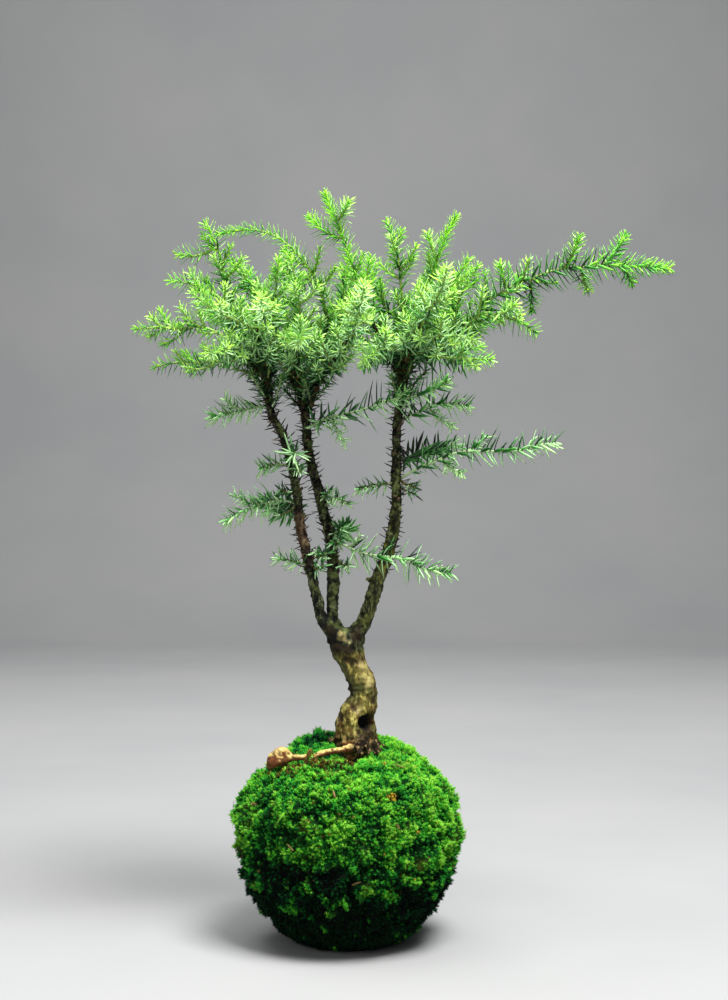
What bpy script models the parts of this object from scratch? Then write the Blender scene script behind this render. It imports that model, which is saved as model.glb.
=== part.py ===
"""A three-stemmed needle juniper growing from a moss-covered ball of soil.

The tables and the building are in millimetres, and the finished meshes are scaled to metres.
The origin is the middle of the flat spot that the ball rests on, +Z is up, +X is the side that
the long shoot points to, and -Y is the front.
"""
import math
import random

import bpy
import numpy as np
from mathutils import Matrix, Vector, noise
from mathutils.bvhtree import BVHTree

# Driving dimensions, in millimetres.
METRES_PER_MM = 0.001
GAP = 0.3
SPOT_RADIUS = 22.0
SOIL_RADIUS = 46.5
SOIL_HALF_HEIGHT = 37.5
SOIL_MIDDLE = 46.5
NEEDLE_LENGTH = 11.0
YOUNG_NEEDLE_LENGTH = 4.8
NEEDLE_RADII = (0.75, 0.05)
NEEDLE_DRAW = (0.88, 1.08)
NEEDLE_LEAN = 70.0
YOUNG_NEEDLE_LEAN = 32.0
LEAN_DRAW = 7.0
WHORL_STEP = 6.9
YOUNG_WHORL_STEP = 3.0
YOUNG_LENGTH = 17.0
LAST_WHORL = 1.2
TIP_POINT = 2.0
BAND_HEIGHT = 1.1
TWIG_RADIUS = 1.0
TWIG_TIP_RADIUS = 0.7
TWIG_STEP = 4.0
BARE_TWIG = 4.5
BARE_SHOOT = 3.5
SHOOT_SAG = 0.12
SPINE_LENGTH = 2.6
SPINE_RADII = (0.6, 0.1)
SPINE_SINK = 0.8
SPINE_RISE = (0.3, 1.6)
SPINE_TURN = math.radians(137.5)
SPINE_ENDS = (12.0, 6.0)
SPINE_STEPS = (14.0, 24.0)
UPPER_SPINE_STEPS = (7.0, 12.0)
UPPER_SPINES_FROM = 200.0
SMOOTH_BELOW = 50.0
SEED = 20

# What a needle tries in turn when another is in its way: shares of its length, and for each a
# change of lean and a turn in radians. It is tested from the foot length on.
SHORTER_NEEDLES = (1, 0.8, 0.6)
NEEDLE_TURNS = ((0, 0), (0.2, 0.2), (0.2, -0.2), (-0.25, 0), (0, 0.4), (0, -0.4), (0.35, 0))
NEEDLE_FOOT = 0.6

# Where a twig leaves the wood: the length searched, its step, and the run that must be clear.
ROOT_SEARCH = 12.0
ROOT_STEP = 0.1
CLEAR_RUN = 2.5
SIGHT_LINE = Vector((0.31, -0.52, 0.79))
SIGHT_SKIP = 0.001
MOST_CROSSINGS = 60

# Main twigs are bent apart: the room wanted, rounds, share of the lack and longest move per round.
TWIG_ROOM = 7.0
SPREAD_ROUNDS = 40
SPREAD_SHARE = 0.25
SPREAD_MOVE = 0.5
SPREAD_STEP = 6.0

# Sides and ring steps of the woody tubes, columns and rows of the balls.
TRUNK_MESH = (12, 5)
STEM_MESH = (7, 9)
BRANCH_MESH = (5, 9)
ROOT_MESH = (6, 4)
SOIL_MESH = (20, 12)
HOLLOW_MESH = (10, 6)
WOOD_STEP = 5.0

# Half outline of the moss, from the edge of the flat spot up to the trunk: radius, height. Its lumps
# and tufts die out over the lowest rows and towards the trunk.
MOSS_OUTLINE = ((SPOT_RADIUS, 0), (36, 7.5), (45.5, 18), (51, 28), (54.5, 38), (56, 50), (55.5, 60),
                (52, 71), (46, 79.5), (38, 86), (30, 90.5), (20, 92), (9, 91.5), (3, 91.5))
MOSS_COLUMNS = 42
MOSS_ROWS = 20
MOSS_LUMP = 2.6
MOSS_LUMP_SIZE = 11.0
MOSS_TUFT = 1.1
MOSS_TUFT_SIZE = 5.0
MOSS_CALM_ROWS = 4
MOSS_CALM_RADII = (10.0, 18.0)

# The wood: points of each centre line with the radius there.
TRUNK = ((4, 2, 60, 5), (4, 1, 74, 8), (3.8, 0, 86, 9.3), (3.7, 0, 95, 9.5), (3.7, 0, 105, 9.2),
         (6.2, 0, 110.5, 7.6), (7.6, 0, 117, 6.3), (6.4, 0, 121, 6.7), (4.6, 0, 127, 6.5),
         (2.3, 0, 133, 6.5), (-0.7, 0.5, 139, 7.7), (-2.5, 1, 144, 7.2), (-3, 1, 148, 5))
LEFT_STEM = ((-4, 0, 140, 3.6), (-9, -0.5, 148, 3.4), (-13, -1, 154, 3.2), (-15, -1.5, 164, 3.1),
             (-20.5, -2, 187, 3), (-23, -2, 199, 2.9), (-25, -2, 217, 2.8), (-30.5, -1, 238, 2.6),
             (-36.5, 0, 250, 2.5), (-38.5, 0, 263, 2.4), (-38.5, 0, 271, 2.2), (-38.5, 0, 277, 1.7))
MIDDLE_STEM = ((-2, 3, 140, 3.8), (-5, 4, 147, 3.6), (-7.5, 5, 154, 3.4), (-7, 6, 168, 3.4),
               (-7.5, 6, 183, 3.3), (-9, 6, 194, 3.2), (-12, 6, 204, 3.1), (-14.5, 6, 215, 3),
               (-17.5, 6, 225, 2.9), (-19.5, 6, 238, 2.8), (-20.5, 6, 250, 2.7), (-23, 6, 260, 2.2),
               (-27, 6, 268, 1.9))
MIDDLE_FORK = ((-20.5, 6, 249, 2.3), (-17.5, 5, 257, 2.1), (-15.5, 4, 263, 2), (-14.5, 3, 269, 1.7))
RIGHT_STEM = ((2, 0, 140, 4.2), (4.3, 0, 147, 4.2), (7.5, 0, 151, 4.1), (13.3, -0.5, 168, 4),
              (15, -1, 174, 3.8), (19, -1, 184, 3.6), (21.5, -1, 195, 3.3), (23, -1, 208, 3.1),
              (23, -1, 221, 2.9), (23, -1, 238, 2.6), (24, 0, 250, 2.5), (25, 0, 259, 2.4),
              (27, 0, 267.5, 2.3), (27, 0, 276, 2), (27, 0, 281, 1.6))
STEMS = (LEFT_STEM, MIDDLE_STEM, MIDDLE_FORK, RIGHT_STEM)
BRANCHES = (
    ((27, 0, 275, 1.7), (40, -1, 282, 1.5), (51, -2, 288, 1.3), (60, -2, 295, 1)),
    ((27, 0, 277, 1.6), (27, -2, 291, 1.3), (26, -3, 303, 1)),
    ((27, 0, 276, 1.5), (33, 4, 290, 1.2), (37, 5, 303, 1)),
    ((26.5, 0, 272, 1.5), (30, -14, 282, 1.2), (34, -28, 290, 0.9)),
    ((26.5, 0, 271, 1.5), (31, 16, 282, 1.2), (36, 30, 292, 0.9)),
    ((26, 0, 266, 1.5), (16, -3, 284, 1.3), (9, -6, 298, 1)),
    ((-38.5, 0, 272, 1.6), (-46, -1, 281, 1.4), (-53, -1, 292, 1.2), (-56, 0, 301, 1)),
    ((-38.5, 0, 266, 1.5), (-48, -6, 275, 1.2), (-56, -10, 283, 0.9)),
    ((-38.5, 0, 268, 1.4), (-40, -14, 279, 1.2), (-42, -30, 288, 0.9)),
    ((-38.5, 0, 269, 1.4), (-42, 16, 280, 1.2), (-46, 32, 290, 0.9)),
    ((-38.5, 0, 274, 1.6), (-37, 2, 289, 1.3), (-35, 3, 302, 1)),
    ((-26, 6, 266, 1.6), (-27, 9, 283, 1.3), (-26, 11, 298, 1)),
    ((-25, 6, 264, 1.4), (-23, -9, 276, 1.2), (-20, -25, 286, 0.9)),
    ((-15, 3.5, 266, 1.6), (-12, 5, 283, 1.3), (-10, 6, 298, 1)),
    ((-15, 3.5, 265, 1.4), (-10, 18, 278, 1.2), (-6, 34, 288, 0.9)),
    ((-15.5, 4, 263, 1.4), (-6, -12, 275, 1.2), (2, -26, 284, 0.9)),
)
SURFACE_ROOT = ((5, -5, 90, 1.8), (2, -9.5, 91.6, 1.6), (-5, -11.5, 91.4, 1.5), (-12, -12.5, 90.2, 1.7),
                (-15, -13, 89.2, 1.2), (-19, -13.2, 88.6, 1.5), (-23, -13.5, 88.4, 1.3),
                (-26, -13.5, 88.6, 2.4), (-29, -13.5, 88.9, 4.1), (-32, -13.5, 88.7, 4.5),
                (-35, -13, 86.6, 3.2), (-37, -12.5, 83, 1.3))
BASE_ROOTS = (
    ((8, -3, 95, 3), (12.5, -5.5, 92, 2.2), (17, -8, 86, 1.4), (20, -9, 78, 0.8)),
    ((4, 6, 95, 3), (5, 13, 92, 2.2), (7, 20, 85, 1.3), (8, 23, 76, 0.8)),
    ((-2, 1, 96, 3), (-8.5, 3, 92, 2.1), (-14, 5, 86, 1.4), (-17, 6, 77, 0.8)),
)
PRUNED_STUBS = (
    ((12.5, -1, 170, 1.9), (10.5, -2, 171, 1.8), (8.8, -3, 172, 1.5)),
    ((-3.5, -1, 144, 3), (-4, -4.5, 145, 2.7), (-4.2, -7.2, 146, 2)),
)
HOLLOW_MIDDLE = (9.6, -7.4, 104)
HOLLOW_RADII = (4.2, 3.6, 3.4)
WOOD_WOBBLE = 0.09
WOOD_WOBBLE_SIZE = 6.0

# The leafy sprays: points of the main twig from the wood to its tip, then the side shoots, each
# with its place along the main twig and its own reach.
SPRAYS = {
    "top": (((9, -6, 297), (5, -8, 311), (1, -9, 323), (-5, -10, 339), (-11, -10, 353)),
            ((0.62, (-16, -1, 10)), (0.76, (6, -5, 9)))),
    "upper_middle": (((26, -3, 302), (25, -4, 311), (24, -4, 322), (22, -5, 333), (18, -5, 341)),
                     ((0.4, (8, -4, 11)), (0.3, (-10, -4, 7)))),
    "upper_right": (((37, 5, 302), (40, 5, 316), (43, 4, 325), (47, 4, 336), (52, 3, 345)),
                    ((0.5, (-5, -6, 12)),)),
    "small_right": (((49, -2, 287), (51, -4, 298), (55, -5, 309), (62, -6, 320)), ()),
    "long_right": (((60, -2, 294), (65, -3, 302), (74, -4, 308), (82, -4, 312), (90, -5, 315),
                    (99, -5, 318), (110, -6, 319), (122, -6, 320), (140, -7, 319), (152, -8, 318)),
                   ((0.22, (-4, -4, 12)), (0.5, (7, -5, 15)), (0.68, (12, 4, 15)),
                    (0.34, (1, 5, -15)), (0.58, (3, -5, -12)), (0.78, (5, 3, -8)))),
    "lower_right": (((52, -2, 289), (61, -8, 295), (71, -11, 296), (81, -13, 292), (88, -14, 287)),
                    ((0.5, (9, -8, 4)),)),
    "left_up": (((-56, 0, 300), (-58, -1, 311), (-60, -2, 321), (-63, -3, 332), (-68, -4, 340)),
                ((0.7, (-19, -3, -4)), (0.35, (9, -5, 9)))),
    "left_second": (((-54, -1, 293), (-60, -5, 304), (-67, -7, 308), (-75, -9, 311), (-84, -10, 312)),
                    ((0.5, (-9, -7, 8)),)),
    "left_low": (((-55, -10, 283), (-62, -12, 288), (-70, -14, 290), (-81, -16, 289), (-92, -18, 289),
                  (-99, -19, 288)), ((0.35, (-9, -6, 9)), (0.5, (-11, 3, -8)), (0.66, (-8, -7, 5)))),
    "left_lowest": (((-47, -5, 274), (-58, -5, 275), (-71, -4, 274), (-82, -3, 274), (-92, -2, 272)),
                    ((0.3, (-16, -9, -4)), (0.5, (-9, 8, 5)))),
    "arch": (((-10, 6, 297), (-14, 1, 311), (-21, -3, 322), (-30, -5, 331), (-41, -7, 336),
              (-51, -8, 336), (-62, -9, 334)), ((0.2, (8, -6, 8)), (0.3, (-10, 7, -9)))),
    "left_vertical": (((-37, 2, 288), (-35, -10, 299), (-33, -16, 311), (-32, -18, 322)),
                      ((0.5, (-8, -7, 8)),)),
    "front_bud": (((-41, -22, 284), (-38, -36, 292), (-38, -54, 299)), ()),
    "front_clump": (((-20, -24, 285), (-21, -39, 284), (-22, -52, 278)), ((0.45, (-9, -8, -2)),)),
    "front_left": (((-42, -29, 287), (-52, -41, 291), (-61, -49, 295), (-69, -55, 301)),
                   ((0.5, (-11, 3, 6)),)),
    "front_left_low": (((-41, -18, 281), (-50, -30, 279), (-57, -42, 276), (-61, -53, 274)), ()),
    "front_middle": (((2, -25, 283), (4, -39, 289), (6, -52, 296), (8, -64, 303)),
                     ((0.5, (-9, -7, 4)),)),
    "front_right": (((34, -27, 289), (38, -41, 296), (42, -53, 303), (44, -62, 311)),
                    ((0.45, (10, -6, 5)),)),
    "front_right_low": (((31, -17, 283), (40, -31, 284), (50, -42, 283), (58, -50, 280)), ()),
    "front_upper_left": (((-21, -20, 283), (-22, -27, 298), (-24, -31, 310), (-26, -33, 320)),
                         ((0.45, (9, -6, 8)),)),
    "front_upper_middle": (((0, -22, 281), (4, -23, 296), (8, -24, 308), (10, -24, 320)), ()),
    "front_upper_right": (((33, -24, 287), (42, -27, 300), (50, -29, 311), (56, -30, 320)),
                          ((0.4, (-9, -5, 9)),)),
    "front_inner": (((28, -6, 277), (18, -19, 280), (12, -31, 276), (7, -40, 271)), ()),
    "back_left": (((-46, 31, 289), (-56, 43, 296), (-64, 53, 302), (-70, 61, 308)),
                  ((0.45, (-10, -3, 6)),)),
    "back_left_low": (((-44, 22, 284), (-54, 32, 281), (-64, 40, 279), (-74, 46, 280)), ()),
    "back_left_up": (((-45, 28, 287), (-46, 34, 300), (-48, 38, 313), (-50, 40, 324)),
                     ((0.4, (9, 6, 8)),)),
    "back_middle": (((-6, 33, 287), (-6, 47, 294), (-7, 59, 300), (-8, 70, 306)),
                    ((0.45, (9, 7, 4)),)),
    "back_middle_left": (((-8, 23, 281), (-18, 37, 284), (-27, 49, 284), (-35, 59, 282)), ()),
    "back_middle_up": (((-7, 29, 285), (-4, 36, 299), (-2, 40, 312), (0, 42, 324)), ()),
    "back_right": (((36, 29, 291), (44, 41, 299), (50, 51, 306), (55, 59, 313)),
                   ((0.45, (9, -2, 6)),)),
    "back_right_low": (((32, 19, 284), (44, 30, 283), (56, 38, 283), (67, 44, 286)),
                       ((0.5, (6, 10, 3)),)),
    "back_right_up": (((34, 26, 289), (37, 30, 302), (40, 32, 315), (41, 33, 326)), ()),
    "back_inner": (((30, 13, 280), (21, 27, 282), (13, 37, 279), (7, 45, 275)), ()),
    "top_left": (((-26, 11, 297), (-27, 14, 309), (-29, 17, 320), (-30, 19, 331)),
                 ((0.45, (-8, 5, 8)),)),
    "top_middle": (((-12, 5, 285), (-4, 10, 300), (-2, 14, 314), (0, 16, 328)), ()),
    "top_right": (((26, -2, 292), (16, 7, 304), (12, 13, 315), (11, 17, 327)), ()),
    "upper_left": (((-35, 3, 301), (-43, 9, 310), (-51, 13, 317), (-57, 16, 325)), ()),
    "left_inner": (((-37, 2, 290), (-48, 11, 296), (-59, 17, 299), (-71, 21, 299)),
                   ((0.5, (-9, 6, 7)),)),
    "right_inner": (((42, -1, 283), (52, 9, 288), (62, 17, 293), (74, 23, 298)),
                    ((0.5, (9, -3, 7)),)),
    "upper_right_back": (((36, 5, 298), (44, 13, 306), (52, 19, 314), (60, 23, 322)), ()),
    "right_low": (((33, -1, 278), (45, -10, 276), (56, -16, 275), (67, -20, 274)),
                  ((0.5, (9, 7, -2)),)),
    "left_stem_upper": (((-37, 0, 253), (-43, -4, 253), (-50, -7, 251), (-57, -9, 249), (-64, -10, 248)),
                        ((0.45, (-9, -6, 5)),)),
    "left_stem_star": (((-28, -1, 229), (-26, -11, 230), (-24, -24, 231)), ()),
    "left_stem_small": (((-28, -2, 225), (-34, -5, 226), (-41, -9, 224)), ()),
    "left_stem_long": (((-24, -2, 206), (-32, -5, 209), (-42, -8, 206), (-50, -10, 203), (-57, -11, 199)),
                       ((0.45, (-14, -3, 4)),)),
    "left_stem_lowest": (((-18.5, -2, 178), (-26, -6, 180), (-33, -9, 182)), ()),
    "middle_stem_lower": (((-7.5, 6, 185), (-3, -4, 188), (4, -12, 185), (13, -15, 183), (23, -16, 182),
                           (31, -16, 179), (38, -16, 176), (48, -16, 175)), ((0.25, (6, -4, 6)),)),
    "middle_stem_upper": (((-19.5, 6, 243), (-12, -5, 247), (-4, -10, 249), (6, -12, 251),
                           (15, -13, 254), (23, -14, 256), (32, -14, 258), (41, -14, 261),
                           (47, -14, 265)), ((0.25, (6, -5, -12)), (0.62, (8, -5, 5)))),
    "right_stem_upper": (((24, 0, 247), (34, 3, 251), (43, 5, 255), (50, 6, 255), (58, 6, 254)),
                         ((0.45, (11, -4, -9)),)),
    "right_stem_long": (((23, -1, 218), (33, -3, 224), (41, -4, 227), (50, -5, 231), (58, -5, 232),
                         (69, -5, 232), (79, -5, 232), (90, -5, 235), (98, -5, 236)),
                        ((0.3, (10, -7, -7)), (0.45, (10, 5, 7)))),
    "right_stem_small": (((22.5, -1, 217), (14, -5, 216), (5, -7, 214)), ()),
    "middle_stem_small": (((-12, 6, 205), (-6, -2, 210), (0, -6, 207)), ()),
    "right_stem_back": (((23, -1, 227), (31, 12, 230), (42, 22, 233), (53, 30, 236)),
                        ((0.45, (9, 4, 3)),)),
    "left_stem_back": (((-23.5, -2, 203), (-29, 13, 204), (-36, 27, 206), (-42, 39, 208)),
                       ((0.45, (-9, 3, 4)),)),
    "middle_stem_back": (((-8, 6, 190), (-3, 17, 193), (0, 29, 195)), ()),
}


class Path:
    """A smooth line through a few points, with a frame carried along it without twist."""

    FINE_STEPS = 12

    def __init__(self, points):
        points = np.array(points, float)
        padded = np.vstack((2 * points[0] - points[1], points, 2 * points[-1] - points[-2]))
        t = np.linspace(0, 1, self.FINE_STEPS, endpoint=False)[:, None]
        pieces = []
        for a, b, c, d in zip(padded, padded[1:], padded[2:], padded[3:]):
            pieces.append(0.5 * (2 * b + (c - a) * t + (2 * a - 5 * b + 4 * c - d) * t ** 2
                                 + (3 * b - a - 3 * c + d) * t ** 3))
        self.rows = np.vstack(pieces + [points[-1:]])
        line = self.rows[:, :3]
        steps = np.linalg.norm(np.diff(line, axis=0), axis=1)
        self.reach = np.concatenate(([0], np.cumsum(steps)))
        self.length = self.reach[-1]
        self.tangents = np.gradient(line, self.reach, axis=0)
        self.tangents /= np.linalg.norm(self.tangents, axis=1)[:, None]
        across = np.cross(self.tangents[0], (0.3, 1.0, 0.2))
        self.normals = np.empty_like(line)
        for k, tangent in enumerate(self.tangents):
            across = across - tangent * (across @ tangent)
            across /= np.linalg.norm(across)
            self.normals[k] = across

    def at(self, place):
        """The point, tangent, normal, side and radius (if the path has one) at a length along it."""
        row = np.array([np.interp(place, self.reach, column) for column in self.rows.T])
        k = int(np.clip(np.searchsorted(self.reach, place), 1, len(self.reach) - 1))
        share = (place - self.reach[k - 1]) / (self.reach[k] - self.reach[k - 1])
        share = min(max(share, 0), 1)
        tangent = self.tangents[k - 1] * (1 - share) + self.tangents[k] * share
        tangent /= np.linalg.norm(tangent)
        normal = self.normals[k - 1] * (1 - share) + self.normals[k] * share
        normal -= tangent * (normal @ tangent)
        normal /= np.linalg.norm(normal)
        return row[:3], tangent, normal, np.cross(tangent, normal), row[3:]

    def points(self, step):
        """Points about a step apart, from one end to the other."""
        count = max(2, round(self.length / step) + 1)
        return np.array([self.at(place)[0] for place in np.linspace(0, self.length, count)])


class Clearance:
    """Straight stretches of wood, twig and needle that each new needle stays clear of."""

    LIMIT = 9000

    def __init__(self):
        self.starts = np.zeros((self.LIMIT, 3))
        self.ends = np.zeros((self.LIMIT, 3))
        self.radii = np.zeros((self.LIMIT, 2))
        self.owners = np.zeros(self.LIMIT, int)
        self.count = 0

    def add(self, start, end, radii, owner):
        k = self.count
        self.starts[k], self.ends[k], self.radii[k], self.owners[k] = start, end, radii, owner
        self.count += 1

    def add_path(self, path, radii, owner, step):
        line = path.points(step)
        shares = np.linspace(0, 1, len(line))
        widths = radii[0] + (radii[1] - radii[0]) * shares if len(radii) == 2 else None
        for k in range(len(line) - 1):
            if widths is None:
                pair = [path.at(share * path.length)[4][0] * (1 + WOOD_WOBBLE) for share in shares[k:k + 2]]
            else:
                pair = widths[k:k + 2]
            self.add(line[k], line[k + 1], pair, owner)

    def room(self, start, end, radii, owner):
        """The least gap between one stretch and every stretch of another owner."""
        chosen = self.owners[:self.count] != owner
        starts, ends = self.starts[:self.count][chosen], self.ends[:self.count][chosen]
        widths = self.radii[:self.count][chosen]
        u, v, w = end - start, ends - starts, start - starts
        a, b, c = u @ u, v @ u, np.maximum(np.einsum("ij,ij->i", v, v), 1e-9)
        d, e = w @ u, np.einsum("ij,ij->i", v, w)
        s = np.clip((b * e - c * d) / np.maximum(a * c - b * b, 1e-9), 0, 1)
        t = np.clip((b * s + e) / c, 0, 1)
        s = np.clip((b * t - d) / a, 0, 1)
        apart = np.linalg.norm(w + s[:, None] * u - t[:, None] * v, axis=1)
        own = radii[0] + (radii[1] - radii[0]) * s
        other = widths[:, 0] + (widths[:, 1] - widths[:, 0]) * t
        return (apart - own - other).min()


def principled(name, colour, roughness):
    """A plain material of one colour, given as display red, green and blue from 0 to 255."""
    material = bpy.data.materials.new(name)
    material.use_nodes = True
    shader = material.node_tree.nodes["Principled BSDF"]
    linear = [(part / 255) ** 2.2 for part in colour]
    shader.inputs["Base Color"].default_value = (*linear, 1)
    shader.inputs["Roughness"].default_value = roughness
    shader.inputs["Metallic"].default_value = 0
    material.diffuse_color = (*linear, 1)
    return material


def add_object(name, verts, faces):
    mesh = bpy.data.meshes.new(name)
    mesh.from_pydata([tuple(v) for v in verts], [], faces)
    mesh.validate()
    obj = bpy.data.objects.new(name, mesh)
    bpy.context.scene.collection.objects.link(obj)
    return obj


def combine(obj, others, operation):
    """Join other solids to an object, or cut them from it, and remove them."""
    if not others:
        return
    group = bpy.data.collections.new(obj.name + "_parts")
    bpy.context.scene.collection.children.link(group)
    for other in others:
        bpy.context.scene.collection.objects.unlink(other)
        group.objects.link(other)
    modifier = obj.modifiers.new("combine", "BOOLEAN")
    modifier.operation = operation
    modifier.operand_type = "COLLECTION"
    modifier.collection = group
    modifier.solver = "EXACT"
    view = bpy.context.evaluated_depsgraph_get()
    joined = bpy.data.meshes.new_from_object(obj.evaluated_get(view))
    obj.modifiers.clear()
    obj.data = joined
    for other in others:
        bpy.data.objects.remove(other)
    bpy.data.collections.remove(group)


def tube(path, mesh, swell=0.0):
    """Points and faces of a closed woody tube; swell makes it that much larger all round."""
    sides, ring_step = mesh
    count = max(2, round(path.length / ring_step)) + 1
    verts, faces = [], []
    for row in range(count):
        centre, tangent, normal, side, radius = path.at(path.length * row / (count - 1))
        if row in (0, count - 1):
            centre = centre + tangent * (swell if row else -swell)
        for k in range(sides):
            angle = 2 * math.pi * k / sides
            way = math.cos(angle) * normal + math.sin(angle) * side
            wobble = noise.noise(Vector((centre + way * radius[0]) / WOOD_WOBBLE_SIZE))
            verts.append(centre + way * (radius[0] * (1 + WOOD_WOBBLE * wobble) + swell))
    for row in range(count - 1):
        for k in range(sides):
            a, b = row * sides + k, row * sides + (k + 1) % sides
            faces.append((a, b, b + sides, a + sides))
    faces.append(tuple(reversed(range(sides))))
    faces.append(tuple(range((count - 1) * sides, count * sides)))
    return verts, faces


def ball(middle, radii, mesh):
    """Points and faces of a closed ball with three half-widths."""
    columns, rows = mesh
    verts = [(0, 0, -1)]
    for row in range(1, rows):
        tilt = math.pi * row / rows - math.pi / 2
        for k in range(columns):
            angle = 2 * math.pi * k / columns
            verts.append((math.cos(tilt) * math.cos(angle), math.cos(tilt) * math.sin(angle), math.sin(tilt)))
    verts.append((0, 0, 1))
    faces = []
    for k in range(columns):
        after = (k + 1) % columns
        faces.append((0, 1 + after, 1 + k))
        for row in range(rows - 2):
            a, b = 1 + row * columns + k, 1 + row * columns + after
            faces.append((a, b, b + columns, a + columns))
        last = 1 + (rows - 2) * columns
        faces.append((last + k, last + after, len(verts) - 1))
    return [np.array(middle) + np.array(v) * radii for v in verts], faces


def buried_wood(swell):
    """The solids of the wood that stand in the moss and the soil, made larger by the swell."""
    made = [add_object("buried_trunk", *tube(Path(TRUNK), TRUNK_MESH, swell))]
    for root in (SURFACE_ROOT, *BASE_ROOTS):
        made.append(add_object("buried_root", *tube(Path(root), ROOT_MESH, swell)))
    return made


def spine_rows(rng):
    """Dry spines along the stems: foot and tip of each."""
    rows = []
    for stem in STEMS:
        path = Path(stem)
        place = SPINE_ENDS[0]
        turn = rng.uniform(0, 2 * math.pi)
        while place < path.length - SPINE_ENDS[1]:
            centre, tangent, normal, side, radius = path.at(place)
            turn += SPINE_TURN
            way = math.cos(turn) * normal + math.sin(turn) * side
            foot = centre + way * radius[0] * SPINE_SINK
            tip = centre + way * (radius[0] + SPINE_LENGTH) + tangent * rng.uniform(*SPINE_RISE)
            rows.append((foot, tip))
            place += rng.uniform(*(UPPER_SPINE_STEPS if centre[2] > UPPER_SPINES_FROM else SPINE_STEPS))
    return rows


def spine(foot, tip):
    """A slim three-sided spine."""
    way = (tip - foot) / np.linalg.norm(tip - foot)
    across = np.cross(way, (0.2, 0.1, 1))
    across /= np.linalg.norm(across)
    side = np.cross(way, across)
    angles = [2 * math.pi * k / 3 for k in range(3)]
    verts = [foot + SPINE_RADII[0] * (math.cos(a) * across + math.sin(a) * side) for a in angles]
    return [*verts, tip], [(2, 1, 0), (0, 1, 3), (1, 2, 3), (2, 0, 3)]


def build_trunk(spines):
    """The trunk, its three stems, their branches and the roots, grown as one body."""
    trunk = add_object("trunk", *tube(Path(TRUNK), TRUNK_MESH))
    parts = []
    for stem in STEMS:
        parts.append(add_object("stem", *tube(Path(stem), STEM_MESH)))
    for branch in (*BRANCHES, *PRUNED_STUBS):
        parts.append(add_object("branch", *tube(Path(branch), BRANCH_MESH)))
    for root in (SURFACE_ROOT, *BASE_ROOTS):
        parts.append(add_object("root", *tube(Path(root), ROOT_MESH)))
    for row in spines:
        parts.append(add_object("spine", *spine(*row)))
    combine(trunk, parts, "UNION")
    hollow = add_object("hollow", *ball(HOLLOW_MIDDLE, HOLLOW_RADII, HOLLOW_MESH))
    combine(trunk, [hollow], "DIFFERENCE")
    return trunk


def moss_outside():
    """Points and faces of the lumpy outside of the moss, flat where it rests."""
    outline = Path([(radius, 0, height) for radius, height in MOSS_OUTLINE])
    verts, faces = [], []
    for row in range(MOSS_ROWS):
        point, tangent = outline.at(outline.length * row / (MOSS_ROWS - 1))[:2]
        calm, rough = MOSS_CALM_RADII
        lumpy = min(1, row / MOSS_CALM_ROWS) * min(1, max(0, (point[0] - calm) / (rough - calm)))
        for k in range(MOSS_COLUMNS):
            angle = 2 * math.pi * (k + 0.5 * (row % 2)) / MOSS_COLUMNS
            outward = np.array((math.cos(angle), math.sin(angle), 0))
            spot = outward * point[0] + np.array((0, 0, point[2]))
            away = outward * tangent[2] - np.array((0, 0, tangent[0]))
            lump = noise.noise(Vector(spot / MOSS_LUMP_SIZE)) * MOSS_LUMP
            lump += noise.noise(Vector(spot / MOSS_TUFT_SIZE + 9)) * MOSS_TUFT
            verts.append(spot + away * lump * lumpy)
    for row in range(MOSS_ROWS - 1):
        for k in range(MOSS_COLUMNS):
            after = (k + 1) % MOSS_COLUMNS
            a, b = row * MOSS_COLUMNS + k, row * MOSS_COLUMNS + after
            c, d = a + MOSS_COLUMNS, b + MOSS_COLUMNS
            faces += [(a, b, c), (b, d, c)] if row % 2 == 0 else [(a, b, d), (a, d, c)]
    faces.append(tuple(reversed(range(MOSS_COLUMNS))))
    faces.append(tuple(range((MOSS_ROWS - 1) * MOSS_COLUMNS, MOSS_ROWS * MOSS_COLUMNS)))
    return verts, faces


def build_ball():
    """The soil round the roots and the moss over it, each cut clear of what it holds."""
    middle = (0, 0, SOIL_MIDDLE)
    radii = np.array((SOIL_RADIUS, SOIL_RADIUS, SOIL_HALF_HEIGHT))
    soil = add_object("soil_ball", *ball(middle, radii, SOIL_MESH))
    combine(soil, buried_wood(GAP), "DIFFERENCE")
    moss = add_object("moss_cover", *moss_outside())
    room = add_object("soil_room", *ball(middle, radii + GAP, SOIL_MESH))
    combine(moss, [room, *buried_wood(GAP)], "DIFFERENCE")
    return soil, moss


def spread_apart(lines, wood):
    """Bend main twigs that pass closer than their needles' room away from each other."""
    owner = np.concatenate([[k] * len(line) for k, line in enumerate(lines)])
    reach = np.concatenate([np.linspace(0, 1, len(line)) * (len(line) - 1) for line in lines])
    free = np.clip((reach - 1) / 2, 0, 1)[:, None]
    spots = np.vstack(lines)
    apart_owners = owner[:, None] != owner[None, :]
    for _ in range(SPREAD_ROUNDS):
        offsets = spots[:, None, :] - spots[None, :, :]
        far = np.linalg.norm(offsets, axis=2) + 1e-6
        push = np.where(apart_owners & (far < TWIG_ROOM), (TWIG_ROOM - far) / far, 0) * SPREAD_SHARE
        move = (offsets * push[:, :, None]).sum(axis=1)
        from_wood = spots[:, None, :] - wood[None, :, :]
        far = np.linalg.norm(from_wood, axis=2) + 1e-6
        push = np.where(far < TWIG_ROOM, (TWIG_ROOM - far) / far, 0) * SPREAD_SHARE
        move += (from_wood * push[:, :, None]).sum(axis=1)
        size = np.linalg.norm(move, axis=1)[:, None] + 1e-6
        spots = spots + move / size * np.minimum(size, SPREAD_MOVE) * free
    return [spots[owner == k] for k in range(len(lines))]


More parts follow.
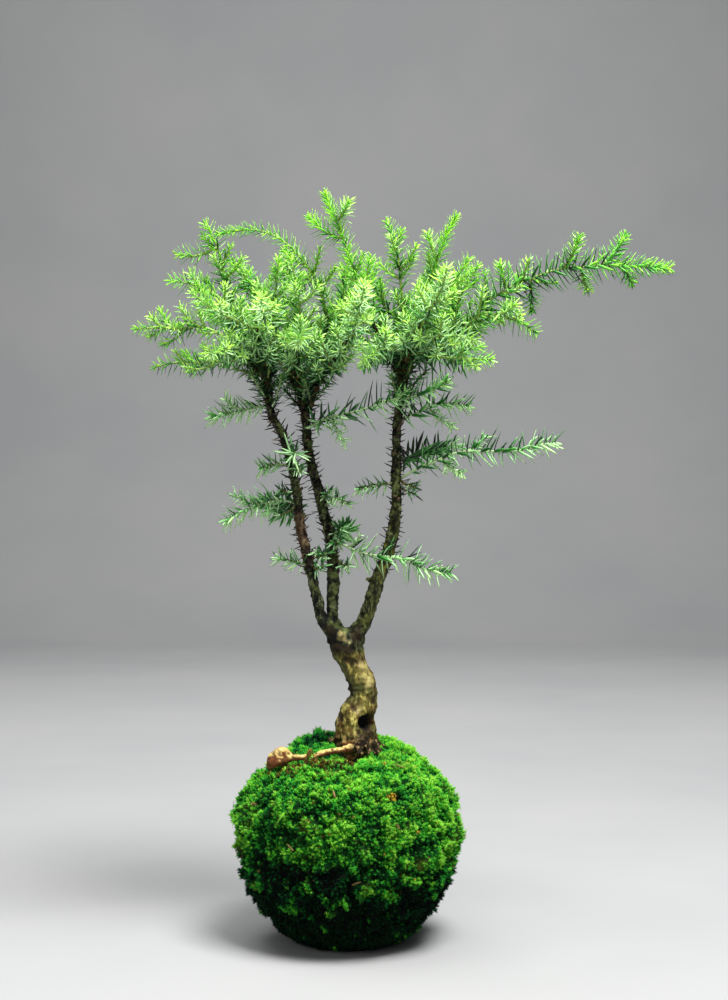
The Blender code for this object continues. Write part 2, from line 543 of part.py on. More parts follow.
def ring(path, place, radius, turn):
    """Three points round a path."""
    centre, _, normal, side, _ = path.at(place)
    angles = [turn + 2 * math.pi * k / 3 for k in range(3)]
    return [centre + radius * (math.cos(a) * normal + math.sin(a) * side) for a in angles]


def inside(point, wood):
    """True if a line from the point leaves the closed wood more often than it enters it."""
    origin = Vector(point)
    for crossings in range(MOST_CROSSINGS):
        spot = wood.ray_cast(origin, SIGHT_LINE)[0]
        if spot is None:
            return crossings % 2 == 1
        origin = spot + SIGHT_LINE * SIGHT_SKIP
    return False


def outside_wood(path, place, wood):
    """True if a twig's whole cross-section there lies at least the gap away from the wood, outside it."""
    for share in (0, 0.5, 1):
        for turn in (0, math.pi / 3):
            for point in ring(path, place, TWIG_RADIUS * share, turn):
                if wood.find_nearest(Vector(point))[3] < GAP or inside(point, wood):
                    return False
    return True


def leaves_wood(path, wood):
    """The place along a twig's path from which it lies outside the wood that carries it."""
    clear_since = 0.0
    for place in np.arange(ROOT_STEP, min(ROOT_SEARCH, path.length), ROOT_STEP):
        if place - clear_since > CLEAR_RUN:
            break
        if not outside_wood(path, place, wood):
            clear_since = place
    return clear_since + ROOT_STEP


def ease(value):
    value = min(max(value, 0), 1)
    return value * value * (3 - 2 * value)


def whorl_places(first, length):
    """Places of the needle whorls, closer together towards the young tip."""
    places = []
    place = length - LAST_WHORL
    while place > first:
        places.append(place)
        age = ease((length - place) / YOUNG_LENGTH)
        place -= YOUNG_WHORL_STEP + (WHORL_STEP - YOUNG_WHORL_STEP) * age
    return places[::-1]


def clear_tip(foot, outward, tangent, size, tilt, space, owner):
    """The tip of a needle that stays clear of other twigs and needles, or None if there is no room."""
    side = np.cross(tangent, outward)
    for shorter in SHORTER_NEEDLES:
        for lean, turn in NEEDLE_TURNS:
            angle = tilt - lean
            way = math.cos(turn) * outward + math.sin(turn) * side
            way = math.sin(angle) * way + math.cos(angle) * tangent
            tip = foot + way * size * shorter
            if space.room(foot + way * NEEDLE_FOOT, tip, NEEDLE_RADII, owner) >= GAP:
                return tip
    return None


def needled_twig(path, first, bare, space, owner, rng):
    """Points and faces of a slim twig with whorls of three needles, each raised from its surface."""
    verts, faces = ring(path, first, TWIG_RADIUS, 0), [(2, 1, 0)]
    below = 0
    for count, place in enumerate(whorl_places(first + bare, path.length)):
        turn = math.pi / 3 * count
        radius = TWIG_RADIUS + (TWIG_TIP_RADIUS - TWIG_RADIUS) * place / path.length
        low = len(verts)
        verts += ring(path, place - BAND_HEIGHT / 2, radius, turn)
        verts += ring(path, place + BAND_HEIGHT / 2, radius, turn)
        for k in range(3):
            after = (k + 1) % 3
            if count == 0:
                faces.append((below + k, below + after, low + after, low + k))
            else:
                faces += [(below + k, below + after, low + k), (low + k, below + after, low + after)]
        centre, tangent = path.at(place)[:2]
        age = ease((path.length - place) / YOUNG_LENGTH)
        for k in range(3):
            after = (k + 1) % 3
            corners = (low + k, low + after, low + 3 + after, low + 3 + k)
            foot = sum(verts[c] for c in corners) / 4
            outward = foot - centre
            outward = outward - tangent * (outward @ tangent)
            outward /= np.linalg.norm(outward)
            size = YOUNG_NEEDLE_LENGTH + (NEEDLE_LENGTH - YOUNG_NEEDLE_LENGTH) * age
            size *= rng.uniform(*NEEDLE_DRAW)
            tilt = YOUNG_NEEDLE_LEAN + (NEEDLE_LEAN - YOUNG_NEEDLE_LEAN) * age
            tilt = math.radians(tilt + rng.uniform(-LEAN_DRAW, LEAN_DRAW))
            tip = clear_tip(foot, outward, tangent, size, tilt, space, owner)
            if tip is None:
                faces.append(corners)
                continue
            space.add(foot, tip, NEEDLE_RADII, owner)
            verts.append(tip)
            faces += [(corners[m], corners[(m + 1) % 4], len(verts) - 1) for m in range(4)]
        below = low + 3
    centre, tangent = path.at(path.length)[:2]
    verts.append(centre + tangent * TIP_POINT)
    faces += [(below + k, below + (k + 1) % 3, len(verts) - 1) for k in range(3)]
    return verts, faces


def build_sprays(trunk, spines):
    """One leafy spray for each row of the table: a main twig, its side shoots and their needles."""
    rng = random.Random(SEED)
    trunk_mesh = trunk.data
    wood = BVHTree.FromPolygons([v.co for v in trunk_mesh.vertices], [p.vertices for p in trunk_mesh.polygons])
    space = Clearance()
    woody = [Path(points) for points in (TRUNK, *STEMS, *BRANCHES)]
    for path in woody:
        space.add_path(path, (), 0, WOOD_STEP)
    for foot, tip in spines:
        space.add(foot, tip, SPINE_RADII, 0)
    wood_points = np.vstack([path.points(WOOD_STEP) for path in woody])
    lines = spread_apart([Path(row[0]).points(SPREAD_STEP) for row in SPRAYS.values()], wood_points)
    plans = []
    owner = 0
    for (name, (_, sides)), line in zip(SPRAYS.items(), lines):
        main = Path(line)
        first = leaves_wood(main, wood)
        shoots = [(main, first, BARE_TWIG)]
        for share, reach in sides:
            start = main.at(main.length * share)[0]
            sag = np.array((0, 0, SHOOT_SAG * np.linalg.norm(reach)))
            shoots.append((Path((start, start + np.array(reach) * 0.5 - sag, start + reach)), 0.0, BARE_SHOOT))
        owned = []
        for path, begin, bare in shoots:
            owner += 1
            space.add_path(path, (TWIG_RADIUS, TWIG_TIP_RADIUS), owner, TWIG_STEP)
            owned.append((path, begin, bare, owner))
        plans.append((name, owned))
    sprays = []
    for name, owned in plans:
        solids = [add_object("spray_" + name, *needled_twig(*plan[:3], space, plan[3], rng)) for plan in owned]
        combine(solids[0], solids[1:], "UNION")
        sprays.append(solids[0])
    return sprays


def finish(obj, material):
    """Give an object its material, scale it to metres and shade its round faces smooth."""
    obj.data.materials.clear()
    obj.data.materials.append(material)
    obj.data.transform(Matrix.Scale(METRES_PER_MM, 4))
    obj.data.shade_smooth()
    obj.data.set_sharp_from_angle(angle=math.radians(SMOOTH_BELOW))


def main():
    for obj in list(bpy.data.objects):
        bpy.data.objects.remove(obj)
    spines = spine_rows(random.Random(SEED))
    trunk = build_trunk(spines)
    soil, moss = build_ball()
    sprays = build_sprays(trunk, spines)
    finish(trunk, principled("bark", (112, 92, 58), 0.85))
    finish(soil, principled("soil", (52, 38, 28), 0.95))
    finish(moss, principled("moss", (58, 140, 30), 0.95))
    green = principled("needles", (84, 176, 84), 0.55)
    for spray in sprays:
        finish(spray, green)


main()
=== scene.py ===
"""Looks of the needle juniper in its moss ball: bark, moss, needles, light and camera.

The tables and the shaping are in millimetres; every mesh is made in metres, in the frame's own axes.
"""

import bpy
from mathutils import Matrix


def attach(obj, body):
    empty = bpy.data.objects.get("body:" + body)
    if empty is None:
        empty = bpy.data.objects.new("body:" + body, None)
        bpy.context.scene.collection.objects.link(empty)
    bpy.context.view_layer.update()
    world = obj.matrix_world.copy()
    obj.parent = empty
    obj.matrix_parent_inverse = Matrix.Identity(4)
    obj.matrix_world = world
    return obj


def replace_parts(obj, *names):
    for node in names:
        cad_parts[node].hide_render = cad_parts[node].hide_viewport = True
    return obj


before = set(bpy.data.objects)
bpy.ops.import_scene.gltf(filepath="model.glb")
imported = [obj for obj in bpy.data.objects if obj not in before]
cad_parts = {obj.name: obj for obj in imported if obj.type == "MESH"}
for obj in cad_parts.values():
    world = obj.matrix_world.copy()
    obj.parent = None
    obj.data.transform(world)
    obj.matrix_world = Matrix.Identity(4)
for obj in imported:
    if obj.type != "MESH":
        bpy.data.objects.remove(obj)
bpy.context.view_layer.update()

import math
import random

import bpy
import numpy as np
from mathutils import Vector, noise

MM = 0.001
TINY = 1e-9
SEED = 20
WIDEST_DRAW = 2.5                   # seeded draws are kept within this many spreads
GOLDEN_TURN = math.radians(137.508)
MAP_MARGIN = 0.02                   # the free edge of the map that the colours are baked through
TONE_RIPPLE, ZONE_RIPPLE = 0.03, 0.02  # how much tone and zone change round a tube

# The wood: points of each centre line with the radius there, as in the frame.
TRUNK = ((4, 2, 60, 5), (4, 1, 74, 8), (3.8, 0, 86, 9.3), (3.7, 0, 95, 9.5), (3.7, 0, 105, 9.2),
         (6.2, 0, 110.5, 7.6), (7.6, 0, 117, 6.3), (6.4, 0, 121, 6.7), (4.6, 0, 127, 6.5),
         (2.3, 0, 133, 6.5), (-0.7, 0.5, 139, 7.7), (-2.5, 1, 144, 7.2), (-3, 1, 148, 5))
LEFT_STEM = ((-4, 0, 140, 3.6), (-9, -0.5, 148, 3.4), (-13, -1, 154, 3.2), (-15, -1.5, 164, 3.1),
             (-20.5, -2, 187, 3), (-23, -2, 199, 2.9), (-25, -2, 217, 2.8), (-30.5, -1, 238, 2.6),
             (-36.5, 0, 250, 2.5), (-38.5, 0, 263, 2.4), (-38.5, 0, 271, 2.2), (-38.5, 0, 277, 1.7))
MIDDLE_STEM = ((-2, 3, 140, 3.8), (-5, 4, 147, 3.6), (-7.5, 5, 154, 3.4), (-7, 6, 168, 3.4),
               (-7.5, 6, 183, 3.3), (-9, 6, 194, 3.2), (-12, 6, 204, 3.1), (-14.5, 6, 215, 3),
               (-17.5, 6, 225, 2.9), (-19.5, 6, 238, 2.8), (-20.5, 6, 250, 2.7), (-23, 6, 260, 2.2),
               (-27, 6, 268, 1.9))
MIDDLE_FORK = ((-20.5, 6, 249, 2.3), (-17.5, 5, 257, 2.1), (-15.5, 4, 263, 2), (-14.5, 3, 269, 1.7))
RIGHT_STEM = ((2, 0, 140, 4.2), (4.3, 0, 147, 4.2), (7.5, 0, 151, 4.1), (13.3, -0.5, 168, 4),
              (15, -1, 174, 3.8), (19, -1, 184, 3.6), (21.5, -1, 195, 3.3), (23, -1, 208, 3.1),
              (23, -1, 221, 2.9), (23, -1, 238, 2.6), (24, 0, 250, 2.5), (25, 0, 259, 2.4),
              (27, 0, 267.5, 2.3), (27, 0, 276, 2), (27, 0, 281, 1.6))
STEMS = (LEFT_STEM, MIDDLE_STEM, MIDDLE_FORK, RIGHT_STEM)
BRANCHES = (
    ((27, 0, 275, 1.7), (40, -1, 282, 1.5), (51, -2, 288, 1.3), (60, -2, 295, 1)),
    ((27, 0, 277, 1.6), (27, -2, 291, 1.3), (26, -3, 303, 1)),
    ((27, 0, 276, 1.5), (33, 4, 290, 1.2), (37, 5, 303, 1)),
    ((26.5, 0, 272, 1.5), (30, -14, 282, 1.2), (34, -28, 290, 0.9)),
    ((26.5, 0, 271, 1.5), (31, 16, 282, 1.2), (36, 30, 292, 0.9)),
    ((26, 0, 266, 1.5), (16, -3, 284, 1.3), (9, -6, 298, 1)),
    ((-38.5, 0, 272, 1.6), (-46, -1, 281, 1.4), (-53, -1, 292, 1.2), (-56, 0, 301, 1)),
    ((-38.5, 0, 266, 1.5), (-48, -6, 275, 1.2), (-56, -10, 283, 0.9)),
    ((-38.5, 0, 268, 1.4), (-40, -14, 279, 1.2), (-42, -30, 288, 0.9)),
    ((-38.5, 0, 269, 1.4), (-42, 16, 280, 1.2), (-46, 32, 290, 0.9)),
    ((-38.5, 0, 274, 1.6), (-37, 2, 289, 1.3), (-35, 3, 302, 1)),
    ((-26, 6, 266, 1.6), (-27, 9, 283, 1.3), (-26, 11, 298, 1)),
    ((-25, 6, 264, 1.4), (-23, -9, 276, 1.2), (-20, -25, 286, 0.9)),
    ((-15, 3.5, 266, 1.6), (-12, 5, 283, 1.3), (-10, 6, 298, 1)),
    ((-15, 3.5, 265, 1.4), (-10, 18, 278, 1.2), (-6, 34, 288, 0.9)),
    ((-15.5, 4, 263, 1.4), (-6, -12, 275, 1.2), (2, -26, 284, 0.9)),
)
SURFACE_ROOT = ((5, -5, 90, 1.8), (2, -9.5, 91.6, 1.6), (-5, -11.5, 91.4, 1.5), (-12, -12.5, 90.2, 1.7),
                (-15, -13, 89.2, 1.2), (-19, -13.2, 88.6, 1.5), (-23, -13.5, 88.4, 1.3),
                (-26, -13.5, 88.6, 2.4), (-29, -13.5, 88.9, 4.1), (-32, -13.5, 88.7, 4.5),
                (-35, -13, 86.6, 3.2), (-37, -12.5, 83, 1.3))
BASE_ROOTS = (
    ((8, -3, 95, 3), (12.5, -5.5, 92, 2.2), (17, -8, 86, 1.4), (20, -9, 78, 0.8)),
    ((4, 6, 95, 3), (5, 13, 92, 2.2), (7, 20, 85, 1.3), (8, 23, 76, 0.8)),
    ((-2, 1, 96, 3), (-8.5, 3, 92, 2.1), (-14, 5, 86, 1.4), (-17, 6, 77, 0.8)),
)
PRUNED_STUBS = (
    ((12.5, -1, 170, 1.9), (10.5, -2, 171, 1.8), (8.8, -3, 172, 1.5)),
    ((-3.5, -1, 144, 3), (-4, -4.5, 145, 2.7), (-4.2, -7.2, 146, 2)),
)
# The hollow at the trunk's foot: its middle, radii, outward way and how far it is sunk.
HOLLOW_MIDDLE = np.array((10.9, -7.0, 104.2))
HOLLOW_RADII = np.array((5.7, 4.8, 4.0))
HOLLOW_WAY = np.array((0.62, -0.78, 0.05))
HOLLOW_DEPTH = 4.5
HOLLOW_RIM, HOLLOW_STEEPNESS = 1.2, 1.9  # where it starts, in shares of its radii, and how it falls in

# Patches of the bark: middle, size, and how pale (above 0) or dark (below 0) the wood is there.
BARK_PATCHES = (
    (0.5, -3, 119, 2.6, -1.0), (4.8, -8.5, 110, 2.5, 0.9), (10.5, -5, 123, 3.6, 0.7),
    (8, -6, 131, 4, 0.6), (12, -4, 114.5, 4, -0.6), (-3.4, -6.5, 145.5, 4.0, 0.62),
    (1, -7, 141.6, 1.4, 0.9), (4, -6, 146.5, 3.5, -0.9), (-8, -4, 147, 3.5, -0.9),
    (-5.5, -6, 139.5, 2.6, -1.0), (-0.5, -7, 138.4, 2.6, -1.0), (3.5, -4, 143, 2.6, -0.8),
    (10, -7, 100, 3.5, -1.0), (6, -9, 95, 4, -0.9), (-5, -3, 105, 2.2, 0.8), (-5.5, -2, 99, 2.2, 0.7),
)
# Knobs on the trunk: middle and size.
TRUNK_KNOBS = (((1.6, -2.5, 119), 2.4), ((6.8, -5.6, 110.5), 2.6), ((1.0, -4.8, 140.5), 2.6),
               ((12.6, -1.0, 104), 2.0), ((-10.0, -0.5, 142.4), 3.4), ((8.1, -0.5, 141.8), 3.1))
# The bark's relief, coarse to fine: how the noise is stretched, its size and seed, and how high it
# rises on each part of the wood.
BARK_RELIEF = (
    ((1, 1, 1), 6.5, 0, {"all": 0.3, "trunk": 0.8}),
    ((1, 1, 1), 3.0, 12, {"all": 0.15, "trunk": 0.5, "stems": 0.5, "knob": 0.8}),
    ((1, 1, 0.35), 1.8, 5, {"all": 0.15, "trunk": 0.25, "foot": 0.9}),
    ((0.35, 0.35, 1), 1.5, 31, {"wrinkled": 0.9}),
    ((1, 1, 1), 1.3, 9, {"all": 0.16, "trunk": 0.14, "stems": 0.3, "knob": 0.25}),
)
BARK_VOXEL = 0.5
STEM_TRIM = 0.6                     # how much slimmer the bare stems are than their tubes
WOOD_SIDES, STUB_SIDES, TWIG_SIDES = 20, 8, 6
WOOD_STEP, TWIG_STEP = 1.0, 3.0
# Fine roots at the trunk's foot: the bearing of the first and the step to the next in degrees, how
# far out they start, how far they reach, and the heights and radii along each.
TRUNK_FOOT = (3.7, 0, 99)           # the trunk's middle, level with the highest of them
FINE_ROOTS, FINE_ROOT_BEARING, FINE_ROOT_STEP = 11, -96, 15
FINE_ROOT_START, FINE_ROOT_REACH = 8.0, (4, 9)
FINE_ROOT_MIDDLE, FINE_ROOT_END = 93.5, 90.0
FINE_ROOT_RADII = (1.3, 0.9, 0.6)
SPINES = (200, 200, 24, 200)        # dry spines on each of the stems
SPINES_FROM = 174.0                 # height of the lowest dry spines
SPINE_LENGTH, SPINE_SPREAD = 3.6, 1.2
STUB_STEP = 3.4

# The leafy sprays: points of the main twig from the wood to its tip, then the side shoots, each
# with its place along the main twig and its own reach, as in the frame.
SPRAYS = {
    "top": (((9, -6, 297), (5, -8, 311), (1, -9, 323), (-5, -10, 339), (-11, -10, 353)),
            ((0.62, (-16, -1, 10)), (0.76, (6, -5, 9)))),
    "upper_middle": (((26, -3, 302), (25, -4, 311), (24, -4, 322), (22, -5, 333), (18, -5, 341)),
                     ((0.4, (8, -4, 11)), (0.3, (-10, -4, 7)))),
    "upper_right": (((37, 5, 302), (40, 5, 316), (43, 4, 325), (47, 4, 336), (52, 3, 345)),
                    ((0.5, (-5, -6, 12)),)),
    "small_right": (((49, -2, 287), (51, -4, 298), (55, -5, 309), (62, -6, 320)), ()),
    "long_right": (((60, -2, 294), (65, -3, 302), (74, -4, 308), (82, -4, 312), (90, -5, 315),
                    (99, -5, 318), (110, -6, 319), (122, -6, 320), (140, -7, 319), (152, -8, 318)),
                   ((0.22, (-4, -4, 12)), (0.5, (7, -5, 15)), (0.68, (12, 4, 15)),
                    (0.34, (1, 5, -15)), (0.58, (3, -5, -12)), (0.78, (5, 3, -8)))),
    "lower_right": (((52, -2, 289), (61, -8, 295), (71, -11, 296), (81, -13, 292), (88, -14, 287)),
                    ((0.5, (9, -8, 4)),)),
    "left_up": (((-56, 0, 300), (-58, -1, 311), (-60, -2, 321), (-63, -3, 332), (-68, -4, 340)),
                ((0.7, (-19, -3, -4)), (0.35, (9, -5, 9)))),
    "left_second": (((-54, -1, 293), (-60, -5, 304), (-67, -7, 308), (-75, -9, 311), (-84, -10, 312)),
                    ((0.5, (-9, -7, 8)),)),
    "left_low": (((-55, -10, 283), (-62, -12, 288), (-70, -14, 290), (-81, -16, 289), (-92, -18, 289),
                  (-99, -19, 288)), ((0.35, (-9, -6, 9)), (0.5, (-11, 3, -8)), (0.66, (-8, -7, 5)))),
    "left_lowest": (((-47, -5, 274), (-58, -5, 275), (-71, -4, 274), (-82, -3, 274), (-92, -2, 272)),
                    ((0.3, (-16, -9, -4)), (0.5, (-9, 8, 5)))),
    "arch": (((-10, 6, 297), (-14, 1, 311), (-21, -3, 322), (-30, -5, 331), (-41, -7, 336),
              (-51, -8, 336), (-62, -9, 334)), ((0.2, (8, -6, 8)), (0.3, (-10, 7, -9)))),
    "left_vertical": (((-37, 2, 288), (-35, -10, 299), (-33, -16, 311), (-32, -18, 322)),
                      ((0.5, (-8, -7, 8)),)),
    "front_bud": (((-41, -22, 284), (-38, -36, 292), (-38, -54, 299)), ()),
    "front_clump": (((-20, -24, 285), (-21, -39, 284), (-22, -52, 278)), ((0.45, (-9, -8, -2)),)),
    "front_left": (((-42, -29, 287), (-52, -41, 291), (-61, -49, 295), (-69, -55, 301)),
                   ((0.5, (-11, 3, 6)),)),
    "front_left_low": (((-41, -18, 281), (-50, -30, 279), (-57, -42, 276), (-61, -53, 274)), ()),
    "front_middle": (((2, -25, 283), (4, -39, 289), (6, -52, 296), (8, -64, 303)),
                     ((0.5, (-9, -7, 4)),)),
    "front_right": (((34, -27, 289), (38, -41, 296), (42, -53, 303), (44, -62, 311)),
                    ((0.45, (10, -6, 5)),)),
    "front_right_low": (((31, -17, 283), (40, -31, 284), (50, -42, 283), (58, -50, 280)), ()),
    "front_upper_left": (((-21, -20, 283), (-22, -27, 298), (-24, -31, 310), (-26, -33, 320)),
                         ((0.45, (9, -6, 8)),)),
    "front_upper_middle": (((0, -22, 281), (4, -23, 296), (8, -24, 308), (10, -24, 320)), ()),
    "front_upper_right": (((33, -24, 287), (42, -27, 300), (50, -29, 311), (56, -30, 320)),
                          ((0.4, (-9, -5, 9)),)),
    "front_inner": (((28, -6, 277), (18, -19, 280), (12, -31, 276), (7, -40, 271)), ()),
    "back_left": (((-46, 31, 289), (-56, 43, 296), (-64, 53, 302), (-70, 61, 308)),
                  ((0.45, (-10, -3, 6)),)),
    "back_left_low": (((-44, 22, 284), (-54, 32, 281), (-64, 40, 279), (-74, 46, 280)), ()),
    "back_left_up": (((-45, 28, 287), (-46, 34, 300), (-48, 38, 313), (-50, 40, 324)),
                     ((0.4, (9, 6, 8)),)),
    "back_middle": (((-6, 33, 287), (-6, 47, 294), (-7, 59, 300), (-8, 70, 306)),
                    ((0.45, (9, 7, 4)),)),
    "back_middle_left": (((-8, 23, 281), (-18, 37, 284), (-27, 49, 284), (-35, 59, 282)), ()),
    "back_middle_up": (((-7, 29, 285), (-4, 36, 299), (-2, 40, 312), (0, 42, 324)), ()),
    "back_right": (((36, 29, 291), (44, 41, 299), (50, 51, 306), (55, 59, 313)),
                   ((0.45, (9, -2, 6)),)),
    "back_right_low": (((32, 19, 284), (44, 30, 283), (56, 38, 283), (67, 44, 286)),
                       ((0.5, (6, 10, 3)),)),
    "back_right_up": (((34, 26, 289), (37, 30, 302), (40, 32, 315), (41, 33, 326)), ()),
    "back_inner": (((30, 13, 280), (21, 27, 282), (13, 37, 279), (7, 45, 275)), ()),
    "top_left": (((-26, 11, 297), (-27, 14, 309), (-29, 17, 320), (-30, 19, 331)),
                 ((0.45, (-8, 5, 8)),)),
    "top_middle": (((-12, 5, 285), (-4, 10, 300), (-2, 14, 314), (0, 16, 328)), ()),
    "top_right": (((26, -2, 292), (16, 7, 304), (12, 13, 315), (11, 17, 327)), ()),
    "upper_left": (((-35, 3, 301), (-43, 9, 310), (-51, 13, 317), (-57, 16, 325)), ()),
    "left_inner": (((-37, 2, 290), (-48, 11, 296), (-59, 17, 299), (-71, 21, 299)),
                   ((0.5, (-9, 6, 7)),)),
    "right_inner": (((42, -1, 283), (52, 9, 288), (62, 17, 293), (74, 23, 298)),
                    ((0.5, (9, -3, 7)),)),
    "upper_right_back": (((36, 5, 298), (44, 13, 306), (52, 19, 314), (60, 23, 322)), ()),
    "right_low": (((33, -1, 278), (45, -10, 276), (56, -16, 275), (67, -20, 274)),
                  ((0.5, (9, 7, -2)),)),
    "left_stem_upper": (((-37, 0, 253), (-43, -4, 253), (-50, -7, 251), (-57, -9, 249), (-64, -10, 248)),
                        ((0.45, (-9, -6, 5)),)),
    "left_stem_star": (((-28, -1, 229), (-26, -11, 230), (-24, -24, 231)), ()),
    "left_stem_small": (((-28, -2, 225), (-34, -5, 226), (-41, -9, 224)), ()),
    "left_stem_long": (((-24, -2, 206), (-32, -5, 209), (-42, -8, 206), (-50, -10, 203), (-57, -11, 199)),
                       ((0.45, (-14, -3, 4)),)),
    "left_stem_lowest": (((-18.5, -2, 178), (-26, -6, 180), (-33, -9, 182)), ()),
    "middle_stem_lower": (((-7.5, 6, 185), (-3, -4, 188), (4, -12, 185), (13, -15, 183), (23, -16, 182),
                           (31, -16, 179), (38, -16, 176), (48, -16, 175)), ((0.25, (6, -4, 6)),)),
    "middle_stem_upper": (((-19.5, 6, 243), (-12, -5, 247), (-4, -10, 249), (6, -12, 251),
                           (15, -13, 254), (23, -14, 256), (32, -14, 258), (41, -14, 261),
                           (47, -14, 265)), ((0.25, (6, -5, -12)), (0.62, (8, -5, 5)))),
    "right_stem_upper": (((24, 0, 247), (34, 3, 251), (43, 5, 255), (50, 6, 255), (58, 6, 254)),
                         ((0.45, (11, -4, -9)),)),
    "right_stem_long": (((23, -1, 218), (33, -3, 224), (41, -4, 227), (50, -5, 231), (58, -5, 232),
                         (69, -5, 232), (79, -5, 232), (90, -5, 235), (98, -5, 236)),
                        ((0.3, (10, -7, -7)), (0.45, (10, 5, 7)))),
    "right_stem_small": (((22.5, -1, 217), (14, -5, 216), (5, -7, 214)), ()),
    "middle_stem_small": (((-12, 6, 205), (-6, -2, 210), (0, -6, 207)), ()),
    "right_stem_back": (((23, -1, 227), (31, 12, 230), (42, 22, 233), (53, 30, 236)),
                        ((0.45, (9, 4, 3)),)),
    "left_stem_back": (((-23.5, -2, 203), (-29, 13, 204), (-36, 27, 206), (-42, 39, 208)),
                       ((0.45, (-9, 3, 4)),)),
    "middle_stem_back": (((-8, 6, 190), (-3, 17, 193), (0, 29, 195)), ()),
}
# Half outline of the moss, from the edge of the flat spot up to the trunk: radius, height.
MOSS_OUTLINE = ((22, 0), (36, 7.5), (45.5, 18), (51, 28), (54.5, 38), (56, 50), (55.5, 60),
                (52, 71), (46, 79.5), (38, 86), (30, 90.5), (20, 92), (9, 91.5), (3, 91.5))
MOSS_LUMP, MOSS_LUMP_SIZE = 2.6, 11.0
MOSS_TUFT, MOSS_TUFT_SIZE = 1.1, 5.0
MOSS_INSET = 3.5                    # the mat lies this far inside, so that the sprigs fill the outline
PILLOW_RISE, PILLOW_SIZE = 2.6, 9.5
CUSHION_RISE, CUSHION_SIZE = 0.8, 3.4
CLUMP_RISE, CLUMP_SIZE = 2.8, 4.4
CLEFT_WIDTH = 0.34                  # how wide the clefts between tufts are, in shares of a tuft
MOSS_WARP, MOSS_WARP_SIZE = 3.4, 6.0
PATCH_RISE = 3.0
MOSS_TOP = 85                       # above this height the moss lies on top of the ball
# Painted shade under the ball: how much darker the lowest moss is, up to which height, how far it fades.
UNDERSIDE_SHADE, UNDERSIDE_SHADE_TOP, UNDERSIDE_SHADE_FADE = 0.9, 20, 32
# Mounds and dips of the moss round the trunk: x, y, rise and size.
MOSS_MOUNDS = ((-15, 15, 5.2, 11), (14, 8, 5.7, 8.5), (6, -13, -2.6, 6.5), (-7, -18.5, -1.0, 6.0),
               (-25, -19, -1.4, 5.0), (-17.5, -14.5, 7.0, 2.3), (-9, -30, -4.8, 9.0))
FLECK = np.array((20.6, -41, 74))   # where a few sprigs have turned yellow
# Tufts (above 0) and sunken places (below 0) on the near side: x, z, size and strength.
# The tufts get painted light and the sunken places painted shade.
MOSS_PATCHES = (
    (-14, 70, 3.6, -0.9), (-26, 59, 3.8, -0.9), (-40, 59, 3.4, -0.8), (34, 52, 4.6, -0.8),
    (-29, 41, 6.0, -0.7), (-8, 39, 6.0, -0.7), (14, 43, 4.6, -0.6), (-46, 44, 4.0, -0.5),
    (44, 54, 3.0, -0.5), (-26, 23, 3.6, 0.4), (10, 33, 3.2, 0.5), (-2, 28.5, 2.6, 0.4),
    (20, 30, 2.8, 0.35), (30, 37, 3.4, 0.4), (-5, 46.5, 3.4, 0.25), (-27, 49, 3.6, 0.3),
    (32, 58.6, 3.0, 0.3), (2, 65, 4.2, 0.25), (3, 84, 4.0, 0.15), (42, 44, 3.4, 0.3), (-43, 31, 3.0, 0.3),
)
ROOT_BED = 3.8                      # how far the moss dips under the surface root
MAT_ROWS, MAT_COLUMNS = 150, 300
MAT_ENDS = (0, 0, 0), (0, 0, 91.5)  # the middle points that close the mat below and above
SPRIG_PIECES = 7
SPRIGS_BETWEEN = (0.03, 0.985)      # shares of the moss outline between which the sprigs stand
SPRIGS_PER_PIECE = 5700
SPRIG_LEAVES = 8
SPRIG_HEIGHT = 1.75
FRONDS, FROND_STEPS = 320, 8
FROND_LENGTH, FROND_SPREAD = 4.6, 1.1
LITTER = 22
LITTER_LENGTH, LITTER_SPREAD = 4.8, 1.2
# How far sprigs and fronds stay clear of the roots on the moss and of the trunk's middle.
SPRIGS_OFF_ROOTS, FRONDS_OFF_ROOTS = 1.7, 6.0
SPRIGS_OFF_TRUNK, FRONDS_OFF_TRUNK = 10.5, 13
# Brown sprigs in front of the surface root: where they start and how far they thin out in y, their
# middle and half width in x, and the lowest height.
# Their brown is their own; their darkening is partly painted shade under the root.
DUFF_SHADE_EDGE, DUFF_SHADE_REACH = -12, 15
DUFF_SHADE_MIDDLE, DUFF_SHADE_HALF_WIDTH, DUFF_SHADE_FLOOR = -16.5, 19.5, 80
BROWN_ZONE, LEAF_ZONE = 0.1, 0.7
# The change of tone and of zone at a moss leaf's two edges, its back and its tip.
LEAF_SHADES = (-0.09, -0.09, -0.05, 0.13)
LEAF_ZONE_SHIFTS = (-0.03, 0.03, 0, 0)
FLOOR_GAP = 0.02                    # the lowest leaves are kept this far above the floor

# Needles by age: distance back from the tip of their shoot, length, step to the next whorl, lean.
NEEDLE_AGES = np.array(((0, 3.2, 1.0, 48), (3, 5.0, 1.35, 62), (9, 6.8, 1.9, 70), (25, 8.2, 2.4, 74),
                        (60, 10.2, 3.4, 77)))
LOWER_AGEING = 2.4                  # the thin lower sprays grow slowly, so their needles age faster
YOUNG_AGEING = 0.25                 # on this year's long growth the needles stay short and close
LOWER_START = 3.0                   # the lower sprays end in full needles, without a tight bud
# How lively green a needle still is at some ages, in the crown and on the lower sprays.
LIVELINESS = (1, 0.8, 0.35, 0)
CROWN_FADING = (0, 4, 14, 40)
LOWER_FADING = (0, 12, 30, 70)
NEEDLE_WIDTH, NEEDLE_DEPTH = 1.6, 0.7
NEEDLE_STOUTNESS, STOUTER_WITH_LENGTH = 0.5, 0.05
